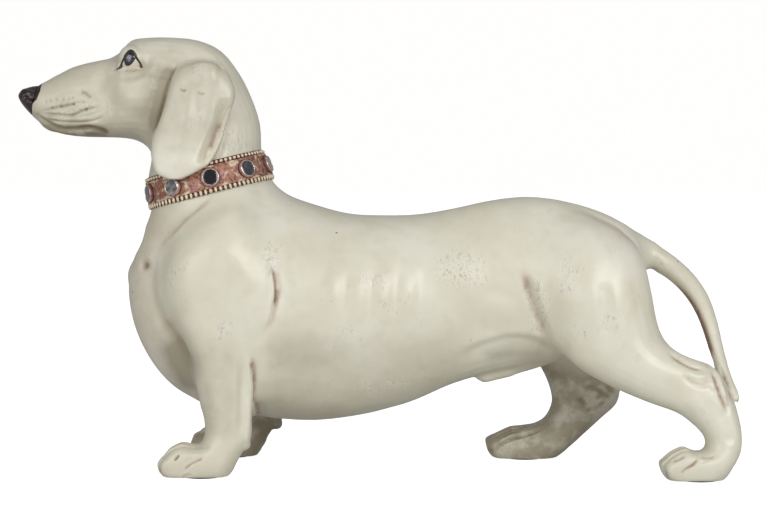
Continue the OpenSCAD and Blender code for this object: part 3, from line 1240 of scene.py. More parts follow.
        # the vent hole: a shallow dimple painted dark as painted shade inside the hole
        away = np.hypot(clay.co[:, 0] - self.vent[0], clay.co[:, 1])
        vent = np.clip(1 - away / 3.4, 0, 1) * (clay.co[:, 2] < 48)
        clay.move(vent, -2.0)
        clay.daub("line", smooth_step(vent, 0.12, 0.35))
        clay.stroke([(-30, 0, 150), (0, 0, 143), (40, 0, 146), (80, 0, 153), (120, 0, 148)], 7, -0.8,
                    Side.BOTH)

    def model_hindquarters(self, clay: Clay) -> None:
        """Haunches, hocks and the web between hock and tail.

        Args:
            clay: the skin being worked.
        """
        for side, shift in ((Side.LEFT, 0.0), (Side.RIGHT, -3.0)):
            fold = [(81 + shift, 114), (86 + shift, 100), (90 + shift, 87), (95.5 + shift, 74),
                    (102 + shift, 67)]
            clay.ledge(fold, 1.7, 1.9, side, 4.5, (20, 14), wash=0.1)
            clay.stroke([(79 + shift, 115), (83 + shift, 104), (87.5 + shift, 91), (94 + shift, 76)], 4.6,
                        -0.8, side, wash=0.42)
            clay.press((112 + shift, 100), (24, 30), 1.8, side)
            clay.press((132 + shift, 96), (10, 32), 0.9, side)
            clay.stroke([(122 + shift, 108), (124 + shift, 92), (123 + shift, 76)], 6, -0.8, side)
        self.settle_legs(clay)
        left = Side.LEFT
        clay.stroke([(159, 69), (164, 65), (171, 61.5), (178, 60.2)], 1.5, -1.1, left, wash=0.8)
        clay.stroke([(160, 72), (168, 66.5), (176, 64.5), (182, 66)], 3.0, 0.8, left)
        clay.stroke([(176, 65), (179.5, 63.5), (181.5, 61)], 2.4, -0.6, left, wash=0.7)
        clay.stroke([(166, 57), (171, 53.5), (176, 52), (181, 53)], 1.8, -0.9, left, wash=0.45)
        clay.stroke([(176, 55.5), (180.5, 53), (183, 48.5)], 1.6, -0.7, left, wash=0.5)
        clay.stroke([(166, 60), (173, 57), (180, 57)], 2.6, 0.7, left)
        clay.stroke([(182.5, 60), (183.5, 55), (185.5, 48.5), (188, 42.5), (190.5, 37.5)], 1.5, -1.5, left,
                    wash=1.2)
        clay.stroke([(184.5, 60), (187, 52), (190, 44)], 2.2, 0.8, left)
        clay.stroke([(188.8, 61), (190.8, 54), (192.8, 46), (193.6, 42)], 1.5, -1.2, left, wash=1.0)
        clay.stroke([(188, 57), (189.6, 51), (190.6, 44), (190.4, 38)], 1.3, -0.6, left, wash=0.5)
        clay.stroke([(168, 47), (176, 37), (181, 27)], 6, 0.7, left)
        clay.stroke([(186, 40), (190, 30), (191.5, 20)], 5, -0.7, left)
        right = Side.RIGHT
        clay.stroke([(104, 58), (112, 50), (120, 44)], 6, -0.9, right)
        clay.stroke([(128, 52), (136, 44), (137, 38)], 5, 0.9, right)
        for line in ([(121, 43.5), (127, 42), (131, 39)], [(128, 37), (134, 37.5)],
                     [(124, 30), (129, 31.5), (132, 34.5)],
                     [(118, 36), (121, 32)], [(133, 44), (137, 41)]):
            # the side of this leg that faces the left
            mark = clay.reach(line, 1.9, False) * (clay.co[:, 1] > 10) * smooth_step(-clay.normal[:, 1], 0,
                                                                                     0.4)
            clay.move(mark, -0.5)
            clay.daub("wash", mark * 1.5)

    def settle_legs(self, clay: Clay) -> None:
        """Draws the hind legs back under the haunches and thins the hanging part of the tail.

        Args:
            clay: the skin being worked.
        """
        x, y, z = clay.co.T
        leg = smooth_step(78 - z, 0, 26) * smooth_step(x - 62, 0, 8) * smooth_step(np.abs(y), 14, 22)
        clay.co[:, 0] += leg * np.where(y > 0, 1.1, 0.9)
        near = np.nonzero((x > 146) & (z < 124) & (z > 50))[0]
        gap = distance_to(node_tree("tail"), clay.co[near], 4)
        slim = np.interp(z[near], (54, 62, 84, 102, 122), (0.0, 1.3, 1.5, 0.7, 0.0))
        clay.co[near, 0] += smooth_step(3.2 - gap, 0, 1.6) * smooth_step(-clay.normal[near, 0], -0.3,
                                                                         0.8) * slim
        clay.normal = clay.normals()

    def model_paws(self, clay: Clay) -> None:
        """Toes, knuckles and the tan between them.

        Args:
            clay: the skin being worked.
        """
        paws = (
            (-110.5, -41.0, -1, 0.7), (-110.5 + self.stagger, 41.0, 1, 1.0),
            (161.0, -41.0, -1, 0.4), (72.5, 41.0, 1, 0.5),
        )
        for x, y, sign, size in paws:
            zone = smooth_step(26 - np.hypot(clay.co[:, 0] - x - 5, clay.co[:, 1] - y), 0, 4)
            zone = zone * smooth_step(clay.co[:, 2], 1.9, 3.2)
            for step in (-10.6, -3.6, 3.6, 10.6):
                back = 2.5 if abs(step) > 5 else 0.0
                clay.lump((x + back + 2, y + step, 12.5), (6.5, 3.8, 5.5), 1.1 * size)
                clay.lump((x + back - 3.5, y + step, 7.0), (4.5, 3.8, 5.0), 1.3 * size)
                nail = clay.reach([(x + back - 6.5, y + step, 5.5), (x + back - 5.5, y + step, 3.0)], 2.4,
                                  False)
                clay.daub("wash", nail * 0.9)
            for step, depth in ((-7.2, 2.3), (0.0, 2.6), (7.2, 2.3)):
                line = [(x + 15, y + step * 0.8, 19), (x + 8, y + step, 18), (x + 1, y + step, 15),
                        (x - 4, y + step, 9.5), (x - 6.5, y + step, 3.5)]
                share = clay.reach(line, 2.3, True) * zone
                clay.move(share, -depth * (0.3 + 0.6 * size))
                clay.daub("wash", share**2 * 0.55)
            outer = [(x + 18, y + sign * 13, 13), (x + 12, y + sign * 14, 10.5), (x + 7.5, y + sign * 14, 7),
                     (x + 7.5, y + sign * 14, 3.5)]
            share = clay.reach(outer, 2.2) * zone
            clay.move(share, -0.9)
            clay.daub("wash", share**2 * 0.2)
        inner = (clay.co[:, 1] > 8) * smooth_step(-clay.normal[:, 1], 0.05, 0.4)
        move = self.stagger
        seen = (
            (Side.LEFT, 1.0, [(-90.3, 12.2), (-94.5, 10.6), (-98.7, 7.6), (-102, 4.5)], 1.5, 1.0),
            (Side.LEFT, 1.0, [(-97.5, 3.2), (-100, 3.4), (-102.5, 2.0)], 0.7, 0.7),
            (Side.LEFT, 1.0, [(-104.0, 14.0), (-105.3, 12), (-106.8, 10.2)], 1.0, 1.6),
            (Side.LEFT, 1.0, [(-88, 17.5), (-95, 17.2), (-99.5, 17)], 0.6, 0.2),
            (Side.LEFT, 1.0, [(175, 14.2), (170.9, 10), (165.8, 6.8), (164.6, 4.2)], 1.1, 1.0),
            (Side.LEFT, 1.0, [(167, 15), (163, 12.8), (159.6, 11.6)], 0.9, 0.9),
            (Side.LEFT, 1.0, [(175, 14.2), (179, 13.6), (183, 14.4)], 0.6, 0.6),
            (Side.BOTH, inner, [(97, 19), (91, 16), (79, 12.6), (72.6, 9.2), (70, 5)], 1.4, 1.2),
            (Side.BOTH, inner, [(86, 18.5), (78, 16), (72, 13)], 0.8, 0.9),
            (Side.BOTH, inner, [(-93 + move, 12.8), (-98 + move, 10), (-102 + move, 7), (-101 + move, 3.5)],
             1.1, 0.9),
        )
        for side, zone, line, depth, wash in seen:
            clay.stroke(line, 1.5, -depth, side, wash=wash, zone=zone)
        self.sink_pads(clay)

    def sink_pads(self, clay: Clay) -> None:
        """Draws each sole down round its felt pad, so that the pad sits in a shallow recess.

        Args:
            clay: the skin being worked.
        """
        for foot in ("left_fore_pad", "right_fore_pad", "left_hind_pad", "right_hind_pad"):
            low, high = (np.array(corner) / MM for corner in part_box(foot))
            middle = (low + high) / 2
            away = np.hypot(clay.co[:, 0] - middle[0], clay.co[:, 1] - middle[1]) - (high[0] - low[0]) / 2
            rim = smooth_step(away, 0.6, 1.5) * smooth_step(20 - away, 0, 5)
            clay.co[:, 2] -= 1.2 * rim * smooth_step(8 - clay.co[:, 2], 0, 6)
        clay.normal = clay.normals()

    def antique(self, clay: Clay) -> None:
        """Paints the wash into creases, and painted shade with some soiling on the low and far parts and
        beside the legs.

        Args:
            clay: the skin being worked.
        """
        clay.smooth(2)
        hollow = clay.hollowness(12)
        clay.daub("wash", np.clip(hollow * 1.1 - 0.14, 0, 0.7))
        x, y, z = clay.co.T
        # painted shade with some soiling, laid all round the far legs low down, with wash and rubs
        far = smooth_step(y, 12, 30) * smooth_step(66 - z, 0, 20)
        clay.daub("grime_and_shade", far * 1.4)
        clay.daub("wash", far * (0.35 + smooth_step(-x, 20, 40) * 0.4))
        clay.daub("rub", far * 0.6)
        # painted shade along the belly's underline behind the forelegs
        clay.daub("grime_and_shade", clay.reach([(-60, 43), (-42, 36), (-14, 33)], 9) * 0.2)
        # painted shade low on the barrel
        barrel = smooth_step(94 - z, 0, 30) * smooth_step(60 - x, 0, 30) * smooth_step(x + 62, 0, 10)
        clay.daub("grime_and_shade", barrel * 0.24)
        # painted shade low on the barrel behind the forelegs
        patch = np.clip(1 - ((x + 36) / 28) ** 2 - ((z - 68) / 14) ** 2, 0, 1)
        clay.daub("grime_and_shade", patch * 0.22)
        # darker towards the floor
        clay.daub("grime_and_shade", smooth_step(12 - z, 0, 9) * 0.12)
        # painted shade on the inner faces of the legs, low down
        inner = smooth_step(-clay.normal[:, 1] * np.sign(y), 0.3, 0.9) * smooth_step(60 - z, 0, 20)
        clay.daub("grime_and_shade", inner * 0.3)
        # painted shade, brownish, on the tail's forward face
        forward = -clay.normal[:, 0]
        tail = smooth_step(x - 142, 0, 8) * smooth_step(z - 62, 0, 8) * smooth_step(forward, 0.2, 0.8)
        tail = tail * smooth_step(139 - z, 0, 12)
        clay.daub("wash", tail * (0.3 + smooth_step(forward, 0.6, 0.95) * 1.1))
        # a rose tint over the front of the chest and neck, partly painted shade
        front = smooth_step(-x - 104, 0, 24) * smooth_step(z - 40, 0, 30)
        clay.daub("wash", front * 0.36)
        # darker on the near forearm
        forearm = smooth_step(-x - 68, 0, 10) * smooth_step(84 - z, 0, 20) * smooth_step(z - 16, 0, 14)
        clay.daub("grime_and_shade", forearm * smooth_step(-y, 20, 34) * 0.28)
        clay.daub("rub", smooth_step(-hollow, 0.04, 0.3) * 0.25)
        # rubbed patches; those on the loin, ribs and haunch partly stand for painted highlights
        rubs_and_highlights = ((47, 114, 22, 16, 1.3), (20, 92, 18, 10, 0.6), (-16, 76, 22, 9, 0.5), (103, 110, 12, 14, 0.8),
                (88, 92, 9, 22, 1.1), (108, 80, 12, 10, 0.9), (126, 82, 10, 12, 0.9),
                (-109, 109, 10, 12, 0.7),
                (-82, 78, 10, 9, 0.9), (-56, 118, 8, 14, 0.8), (-3, 101, 26, 16, 0.35), (10, 48, 60, 12, 0.6))
        for cx, cz, width, tall, amount in rubs_and_highlights:
            share = np.clip(1 - ((x - cx) / width) ** 2 - ((z - cz) / tall) ** 2, 0, 1)
            clay.daub("rub", share * amount)
        clay.paint["wash"] = clay.spread(clay.paint["wash"], 2)


# ------------------------------------------------------------------ the head casting


def outline_distance(spots: np.ndarray, outline: np.ndarray) -> np.ndarray:
    """The distance of points from a closed outline, below 0 inside it.

    Args:
        spots: the points, in two dimensions.
        outline: the outline's points in order.

    Returns:
        One distance per point.
    """
    best = np.full(len(spots), 1e9)
    inside = np.zeros(len(spots), bool)
    for a, b in zip(outline, np.roll(outline, -1, 0)):
        along = np.clip(((spots - a) @ (b - a)) / ((b - a) @ (b - a)), 0, 1)
        best = np.minimum(best, np.linalg.norm(spots - a - along[:, None] * (b - a), axis=1))
        crosses = (a[1] > spots[:, 1]) != (b[1] > spots[:, 1])
        rise = (spots[:, 1] - a[1]) / np.where(b[1] == a[1], 1e-9, b[1] - a[1])
        inside ^= crosses & (spots[:, 0] < a[0] + rise * (b[0] - a[0]))
    return np.where(inside, -best, best)


@dataclass
class HeadCasting:
    """Head, upper neck and ears, glazed as one skin. Lengths are in millimetres."""

    finish: bpy.types.Material
    grain: float = 0.68
    ball: Point3 = (-134.6, 15.2, 227.0)
    ball_radius: float = 7.5
    eye_outline: tuple[Point2, ...] = (
        (-139.9, 222.8), (-137.8, 226.0), (-135.8, 229.0), (-134.3, 229.9), (-132.0, 226.8), (-129.8, 223.0),
        (-132.6, 222.0), (-136.4, 221.8))
    main: str = "head_shell"
    limbs: tuple[str, ...] = ("left_ear", "right_ear")

    def build(self) -> list[bpy.types.Object]:
        """Lutes the castings together, works the skin and parts it again.

        Returns:
            The castings.
        """
        parts = [node_copy(name) for name in (self.main, *self.limbs, "left_eye", "right_eye")]
        clay = Clay("head", remeshed(joined([*parts, NECK.plug(0.3, 8, 2.0)]), self.grain))
        self.blend_ears(clay)
        for side in (Side.LEFT, Side.RIGHT):
            self.model_skull(clay, side)
            self.model_ear(clay, side)
            self.model_muzzle(clay, side)
            self.model_eye(clay, side)
        self.antique(clay)
        return part_castings(clay, self.main, self.limbs, self.finish)

    def blend_ears(self, clay: Clay) -> None:
        """Lets the top of each ear run into the skull and keeps its free edges crisp.

        Args:
            clay: the skin being worked.
        """
        clay.smooth(14)
        skull = node_tree("head_shell")
        low, high = np.array(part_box("left_ear")[0]) / MM, np.array(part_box("left_ear")[1]) / MM
        for sign in (-1, 1):
            mirrored = clay.co * np.array([1, -sign, 1])
            near = np.nonzero(((mirrored > low - 8) & (mirrored < high + 8)).all(1))[0]
            ear = distance_to(node_tree("left_ear"), mirrored[near], 8)
            both = np.maximum(ear, distance_to(skull, clay.co[near], 8))
            share = np.zeros(len(clay.co))
            share[near] = smooth_step(1 - both / 8, 0.0, 0.6)
            top = smooth_step(clay.co[:, 2], 200, 219)
            rear = smooth_step(clay.co[:, 0], -93, -83) * smooth_step(clay.co[:, 2], 182, 196)
            clay.smooth(90, share * np.maximum(top, rear), keep_size=False)
            clay.smooth(8, share, keep_size=False)

    def model_skull(self, clay: Clay, side: Side) -> None:
        """Brow, cheek and nape.

        Args:
            clay: the skin being worked.
            side: the side of the head.
        """
        clay.press((-139, 208), (12, 9), 0.9, side, 30)
        clay.press((-131, 203), (10, 9), 0.8, side)
        clay.press((-143, 214), (8, 5), 0.6, side)
        clay.lump((-151, 5 * side.value, 222), (9, 9, 7), 0.8)
        clay.lump((-170, 4 * side.value, 217), (12, 9, 6), -0.5)
        clay.stroke([(-126, 219.5), (-118, 218.2), (-111, 219.5)], 4, -0.8, side, wash=0.1)
        clay.stroke([(-127, 229), (-120, 232), (-112, 231)], 6, -0.5, side)
        clay.stroke([(-148, 219), (-153, 213), (-155, 206)], 6, -0.7, side)
        clay.lump((-139, 13 * side.value, 236), (6, 6, 4), 0.7)
        clay.lump((-137, 0, 239), (10, 5, 5), -1.0)
        clay.lump((-186, 4 * side.value, 194), (7, 9, 5), -0.7)

    def model_ear(self, clay: Clay, side: Side) -> None:
        """The leaf, its folds and its edges.

        Args:
            clay: the skin being worked.
            side: the side of the head.
        """
        leaf = smooth_step(np.abs(clay.co[:, 1]), 27.5, 30)
        # front edge
        front = [(-108.5, 224), (-112, 214), (-114.5, 203), (-117.5, 193), (-121, 185)]
        clay.ledge(front, 0.9, 3.0, side, 1.0, (6, 10), wash=0.2)
        clay.stroke([(x - 0.9, z) for x, z in front], 1.6, -0.7, side, wash=0.25)
        # painted shadow on the cheek in front of the ear, and a slight darkening of the ear's upper leaf
        cheek = clay.reach([(-114, 224), (-118, 212), (-121, 202), (-126, 190)], 15) * clay.facing(side)
        clay.daub("grime_and_shade", cheek * (1 - leaf) * 0.62 + leaf * smooth_step(clay.co[:, 2], 172, 192) * 0.17)
        shade = clay.reach([(x - 2.5, z) for x, z in front], 5.5) * clay.facing(side)
        clay.daub("grime_and_shade", shade * (1 - leaf) * 0.9)
        # the fold at the top and the valley along the rear edge
        clay.stroke([(-104, 224.5), (-96, 226.5), (-87, 225), (-80, 219)], 4.5, -1.0, side, wash=0.12)
        clay.stroke([(-100, 219), (-93, 221), (-86, 218)], 7, 1.3, side)
        valley = [(-83, 205), (-82.5, 197), (-84.5, 189), (-88, 181), (-91, 173), (-94, 167)]
        clay.stroke(valley, 6.0, -2.6, side, wash=0.35, zone=leaf)
        clay.stroke([(-84, 192), (-87, 184), (-89.5, 176)], 3.0, -1.0, side, wash=0.5, zone=leaf)
        clay.stroke([(-78.5, 200), (-79.5, 192), (-83, 183), (-86.5, 175), (-91, 168)], 3.0, 1.3, side,
                    zone=leaf)
        clay.press((-103, 193), (9, 17), 0.9, side, 12)
        clay.press((-107, 172), (11, 9), 1.0, side)
        clay.stroke([(-95, 213), (-96, 203), (-97, 192)], 6, -0.8, side, zone=leaf)
        for x, z in ((-104.5, 209), (-94.8, 207.3)):
            mark = clay.reach([(x - 1.2, z + 0.5), (x + 0.4, z - 0.6), (x + 1.4, z)], 1.2,
                              False) * clay.facing(side)
            clay.daub("wash", mark * 1.1)

    def model_muzzle(self, clay: Clay, side: Side) -> None:
        """Lips, whisker lines and the mouth.

        Args:
            clay: the skin being worked.
            side: the side of the head.
        """
        mouth = [(-190, 196.5), (-186.5, 194.5), (-180.5, 190.6), (-174.5, 188.4), (-166.5, 188.2),
                 (-158, 189), (-152.5, 187.8), (-148.6, 185.8)]
        clay.stroke([(x, z + 2.6) for x, z in mouth[1:]], 3.6, 0.9, side)
        clay.stroke(mouth, 1.7, -1.3, side, wash=0.45)
        clay.stroke(mouth[4:], 2.2, -0.6, side, wash=0.55)
        clay.stroke([(-152.5, 188.3), (-148.5, 186)], 2.0, -0.7, side, wash=1.2)
        clay.daub("wash", clay.reach([(-160, 186.6), (-151, 186)], 3, False) * clay.facing(side) * 0.6)
        # painted shade, brownish, along the mouth and the lower jaw
        clay.daub("grime_and_shade", clay.reach([(-186, 195), (-172, 190), (-156, 190)], 9) * clay.facing(side) * 0.4)
        clay.stroke([(x, z - 2.2) for x, z in mouth[2:7]], 2.2, 0.5, side, wash=0.25)
        lines = (
            [(-186, 197.6), (-180, 198.8), (-173, 200.2), (-168, 201.2), (-164.5, 202.6)],
            [(-187, 196.8), (-178, 196), (-168.5, 195.4), (-160, 198.4), (-153.5, 199.8)],
            [(-182.5, 193.4), (-175, 192.2), (-164, 191.8), (-156, 192.8), (-150, 195)])
        for line in lines:
            clay.stroke(line, 1.5, -0.8, side, wash=0.4)
            clay.stroke([(x, z + 1.7) for x, z in line], 1.7, 0.5, side)
        clay.stroke([(-163.4, 208.6), (-160, 207.6), (-157, 204.6)], 1.6, -1.0, side, wash=0.65)
        clay.press((-166, 204), (12, 6), 0.6, side)
        clay.press((-152, 193), (9, 6), 0.8, side)
        for row, (start, count) in enumerate(((-183, 6), (-180, 7), (-176, 6))):
            for step in range(count):
                spot = (start + 3.1 * step + 0.7 * math.sin(5 * step + row), 203.2 - 3.3 * row + 0.45 * step)
                dot = clay.reach([spot, (spot[0] + 0.5, spot[1])], 0.95, False) * clay.facing(side)
                clay.move(dot, -0.45)
                clay.daub("wash", dot * (0.7 + 0.4 * math.sin(3 * step + 2 * row)))
        seat = [(-186.2, 214), (-186.6, 209), (-188.2, 204.5), (-191.2, 201.8), (-191.6, 195.5),
                (-200, 195.5), (-200, 214)]
        inside = -outline_distance(clay.co[:, [0, 2]], np.array(seat))
        clay.daub("line", smooth_step(inside, -0.5, 0.4) * 1.2 * (side is Side.LEFT))

    def model_eye(self, clay: Clay, side: Side) -> None:
        """Opens the lids over the ball.

        Args:
            clay: the skin being worked.
            side: the side of the head.
        """
        x, y, z = clay.co.T
        outline = curve_points([*self.eye_outline, self.eye_outline[0]], 0.5)[:-1]
        near = np.nonzero((np.hypot(x - self.ball[0], z - self.ball[2]) < 14) & (y * side.value > 8))[0]
        spots = clay.co[near][:, [0, 2]]
        gap = outline_distance(spots, outline)
        depth = np.abs(clay.co[near, 1])
        off = np.hypot(spots[:, 0] - self.ball[0], spots[:, 1] - self.ball[2])
        ball = self.ball[1] + np.sqrt(np.maximum(self.ball_radius**2 - off**2, 0))
        lid = np.maximum(ball + 0.75, 20.6 - 0.12 * off)
        skin = depth - np.maximum(depth - 21.4, 0) * smooth_step(14 - off, 0.0, 6.5)
        outside = lid + (skin - lid) * smooth_step(gap, 0.9, 4.2)
        inside = ball - 1.5
        shaped = inside + (outside - inside) * smooth_step(gap, -0.55, 0.35)
        facing = smooth_step(depth, 12, 16)
        clay.co[near, 1] = side.value * (depth + (shaped - depth) * facing)
        clay.normal = clay.normals()
        upper = [(-140.4, 222.0), (-138.3, 225.6), (-136.2, 229.2), (-134.3, 230.5), (-131.7, 227.1),
                 (-129.0, 222.4)]
        arch = [(-136.8, 227.8), (-134.3, 230.1), (-132.5, 228.2)]
        lash = clay.reach(upper, 1.4, False) + clay.reach(arch, 2.0, False)
        lash = lash * clay.facing(side)
        clay.daub("line", lash * 1.6)
        clay.daub("line", clay.reach([(-141.4, 221.4), (-142.6, 221.0)], 1.0, False) * clay.facing(side))
        clay.stroke([(-141.5, 221.6), (-143.5, 220.8), (-145.5, 220.2)], 1.2, -0.5, side, wash=0.8)
        clay.stroke([(-139, 220.5), (-134.5, 219.8), (-129.5, 221)], 1.1, -0.5, side, wash=0.3)
        clay.stroke([(-138, 217.6), (-133, 217), (-128, 218.4)], 1.6, -0.3, side)
        clay.stroke([(-142, 225), (-139.6, 229.5), (-136.6, 233.5)], 2.2, 0.6, side)
        clay.stroke([(-131.5, 232), (-128.5, 227.5), (-126.5, 223.5)], 2.0, 0.5, side)

    def antique(self, clay: Clay) -> None:
        """Paints the wash into creases, the rubs, and painted shade towards the muzzle and under the head.

        Args:
            clay: the skin being worked.
        """
        clay.smooth(1)
        hollow = clay.hollowness(12)
        clay.daub("wash", np.clip(hollow * 1.2 - 0.12, 0, 0.6))
        x, _, z = clay.co.T
        # a slight darkening all over, and painted shade that grows towards the muzzle
        clay.daub("grime_and_shade", 0.05 + smooth_step(-x, 95, 150) * 0.27)
        # painted shade on the faces that look down
        clay.daub("grime_and_shade", smooth_step(-clay.normal[:, 2], 0.2, 1.0) * 0.3)
        clay.daub("rub", smooth_step(-hollow, 0.04, 0.25) * 0.15)
        # painted shade under the chin, with brown wash
        chin = smooth_step(192.5 - z, 0, 6) * smooth_step(-146 - x, 0, 10)
        clay.daub("grime_and_shade", chin * 0.8)
        clay.daub("wash", chin * 0.45)
        # rubbed patches on the ears and muzzle; the one under the eye is partly a painted highlight
        rubs_and_highlights = ((-98, 193, 10, 18, 0.75), (-77, 183, 10, 16, 0.9), (-150, 197, 14, 8, 0.9),
                (-170, 198, 14, 8, 0.7),
                (-90, 210, 10, 10, 0.4), (-135, 212, 8, 5, 0.2))
        for cx, cz, width, tall, amount in rubs_and_highlights:
            share = np.clip(1 - ((x - cx) / width) ** 2 - ((z - cz) / tall) ** 2, 0, 1)
            clay.daub("rub", share * amount)
        clay.paint["wash"] = clay.spread(clay.paint["wash"], 1)


# ------------------------------------------------------------------ nose and eyes


@dataclass
class Nose:
    """The nose leather."""

    finish: bpy.types.Material
    grain: float = 0.35

    def build(self) -> bpy.types.Object:
        """Works nostrils and the groove between them into the nose.

        Returns:
            The nose.
        """
        clay = Clay("nose", remeshed(node_copy("nose"), self.grain))
        clay.smooth(16)
        clay.lump((-199, 0, 204), (5, 1.6, 9), -1.2)
        for sign in (-1, 1):
            clay.lump((-194.5, 7.2 * sign, 205.5), (2.4, 2.6, 1.9), -2.0)
            clay.lump((-192, 8.2 * sign, 204.2), (2.6, 2.0, 1.0), -1.3)
            clay.lump((-196.5, 4.2 * sign, 209.4), (3.5, 3.2, 2.6), 0.6)
            clay.lump((-193, 7.2 * sign, 209), (3.2, 2.6, 2.2), 0.5)
        skin = clay.finish()
        skin.polygons.foreach_set("use_smooth", [True] * len(skin.polygons))
        nose = bpy.data.objects.new("nose_leather", skin)
        bpy.context.scene.collection.objects.link(nose)
        return place_piece(nose, "dark_glaze", self.finish, "nose")


@dataclass
class Eye:
    """A glazed ball with a dark iris."""

    side: Side
    finish: bpy.types.Material
    centre: Point3 = (-134.6, 15.2, 227.0)
    radius: float = 7.45
    gaze: Point3 = (-0.1, 1.0, 0.02)
    iris: float = 2.75
    lean: float = 0.55

    def build(self) -> bpy.types.Object:
        """Makes the ball and paints its iris, with a painted reflection in it.

        Returns:
            The ball.
        """
        sign = self.side.value
        middle = Vector((self.centre[0], self.centre[1] * sign, self.centre[2]))
        ball = bmesh.new()
        bmesh.ops.create_icosphere(ball, subdivisions=5, radius=self.radius * MM,
                                   matrix=Matrix.Translation(middle * MM))
        title = f"{self.side.name.lower()}_eyeball"
        obj = new_piece(title, ball)
        look = np.array([self.gaze[0], self.gaze[1] * sign, self.gaze[2]])
        look /= np.linalg.norm(look)
        flat = np.empty(len(obj.data.vertices) * 3)
        obj.data.vertices.foreach_get("co", flat)
        offset = flat.reshape(-1, 3) / MM - np.array(middle)
        # an upright oval iris that leans back, with a paler spot in it that is a painted reflection
        spots = offset - np.array((-0.3, 0, -0.4))
        along = spots[:, 0] * math.sin(self.lean) + spots[:, 2] * math.cos(self.lean)
        across = spots[:, 0] * math.cos(self.lean) - spots[:, 2] * math.sin(self.lean)
        behind = 20 * ((offset @ look) < 0)
        for name, wide, tall in (("iris", self.iris, self.iris * 1.7),
                                 ("reflection_spot", self.iris * 0.36, self.iris * 0.8)):
            away = np.hypot(across / wide, along / tall) + behind
            layer = obj.data.attributes.new(name, "FLOAT", "POINT")
            layer.data.foreach_set("value", (1 - smooth_step(away, 0.8, 1.1)).astype(np.float32))
        return place_piece(obj, "dark_glaze", self.finish, title.replace("eyeball", "eye"))


@dataclass(frozen=True)
class EyeGlaze:
    """Dark iris on a cream ball, under gloss, with a painted reflection in the iris."""

    name: str = "eye_glaze"
    iris: tuple = srgb(24, 15, 20)
    ring: tuple = srgb(58, 46, 54)
    reflection_spot: tuple = srgb(128, 116, 134)
    white: tuple = srgb(214, 206, 188)

    def material(self) -> bpy.types.Material:
        """Builds the glaze.

        Returns:
            The material.
        """
        f = Finish(self.name)
        cloud = f.noise(2.2, 3, 0.6)
        iris = f.painted("iris")
        dark = f.blend(cloud.above(0.5, 0.75) * 0.5, self.iris, self.ring)
        dark = f.blend(f.painted("reflection_spot").above(0.2, 0.9) * 0.8, dark, self.reflection_spot)
        f.wire("Base Color", f.blend(iris.above(0.3, 0.7), self.white, dark))
        f.wire("Roughness", 0.12 + cloud * 0.1)
        f.wire("Coat Weight", 1.0)
        f.wire("Coat Roughness", 0.05)
        f.bump(cloud, 0.08, 0.4)
        return f.material


# ------------------------------------------------------------------ the collar


class StoneToneAndReflection(Enum):
    """The foil colours of the stones, with how metallic each looks; much of the difference between them is a
    painted reflection of what each stone faces.
    """

    BLACK = ((10, 10, 14), (24, 23, 30), 0.1)
    SLATE = ((66, 70, 74), (98, 102, 106), 0.45)
    MIST = ((166, 164, 158), (190, 188, 182), 0.6)
    CLEAR = ((128, 124, 126), (196, 196, 196), 0.8)
    LILAC = ((112, 108, 116), (138, 134, 142), 0.5)


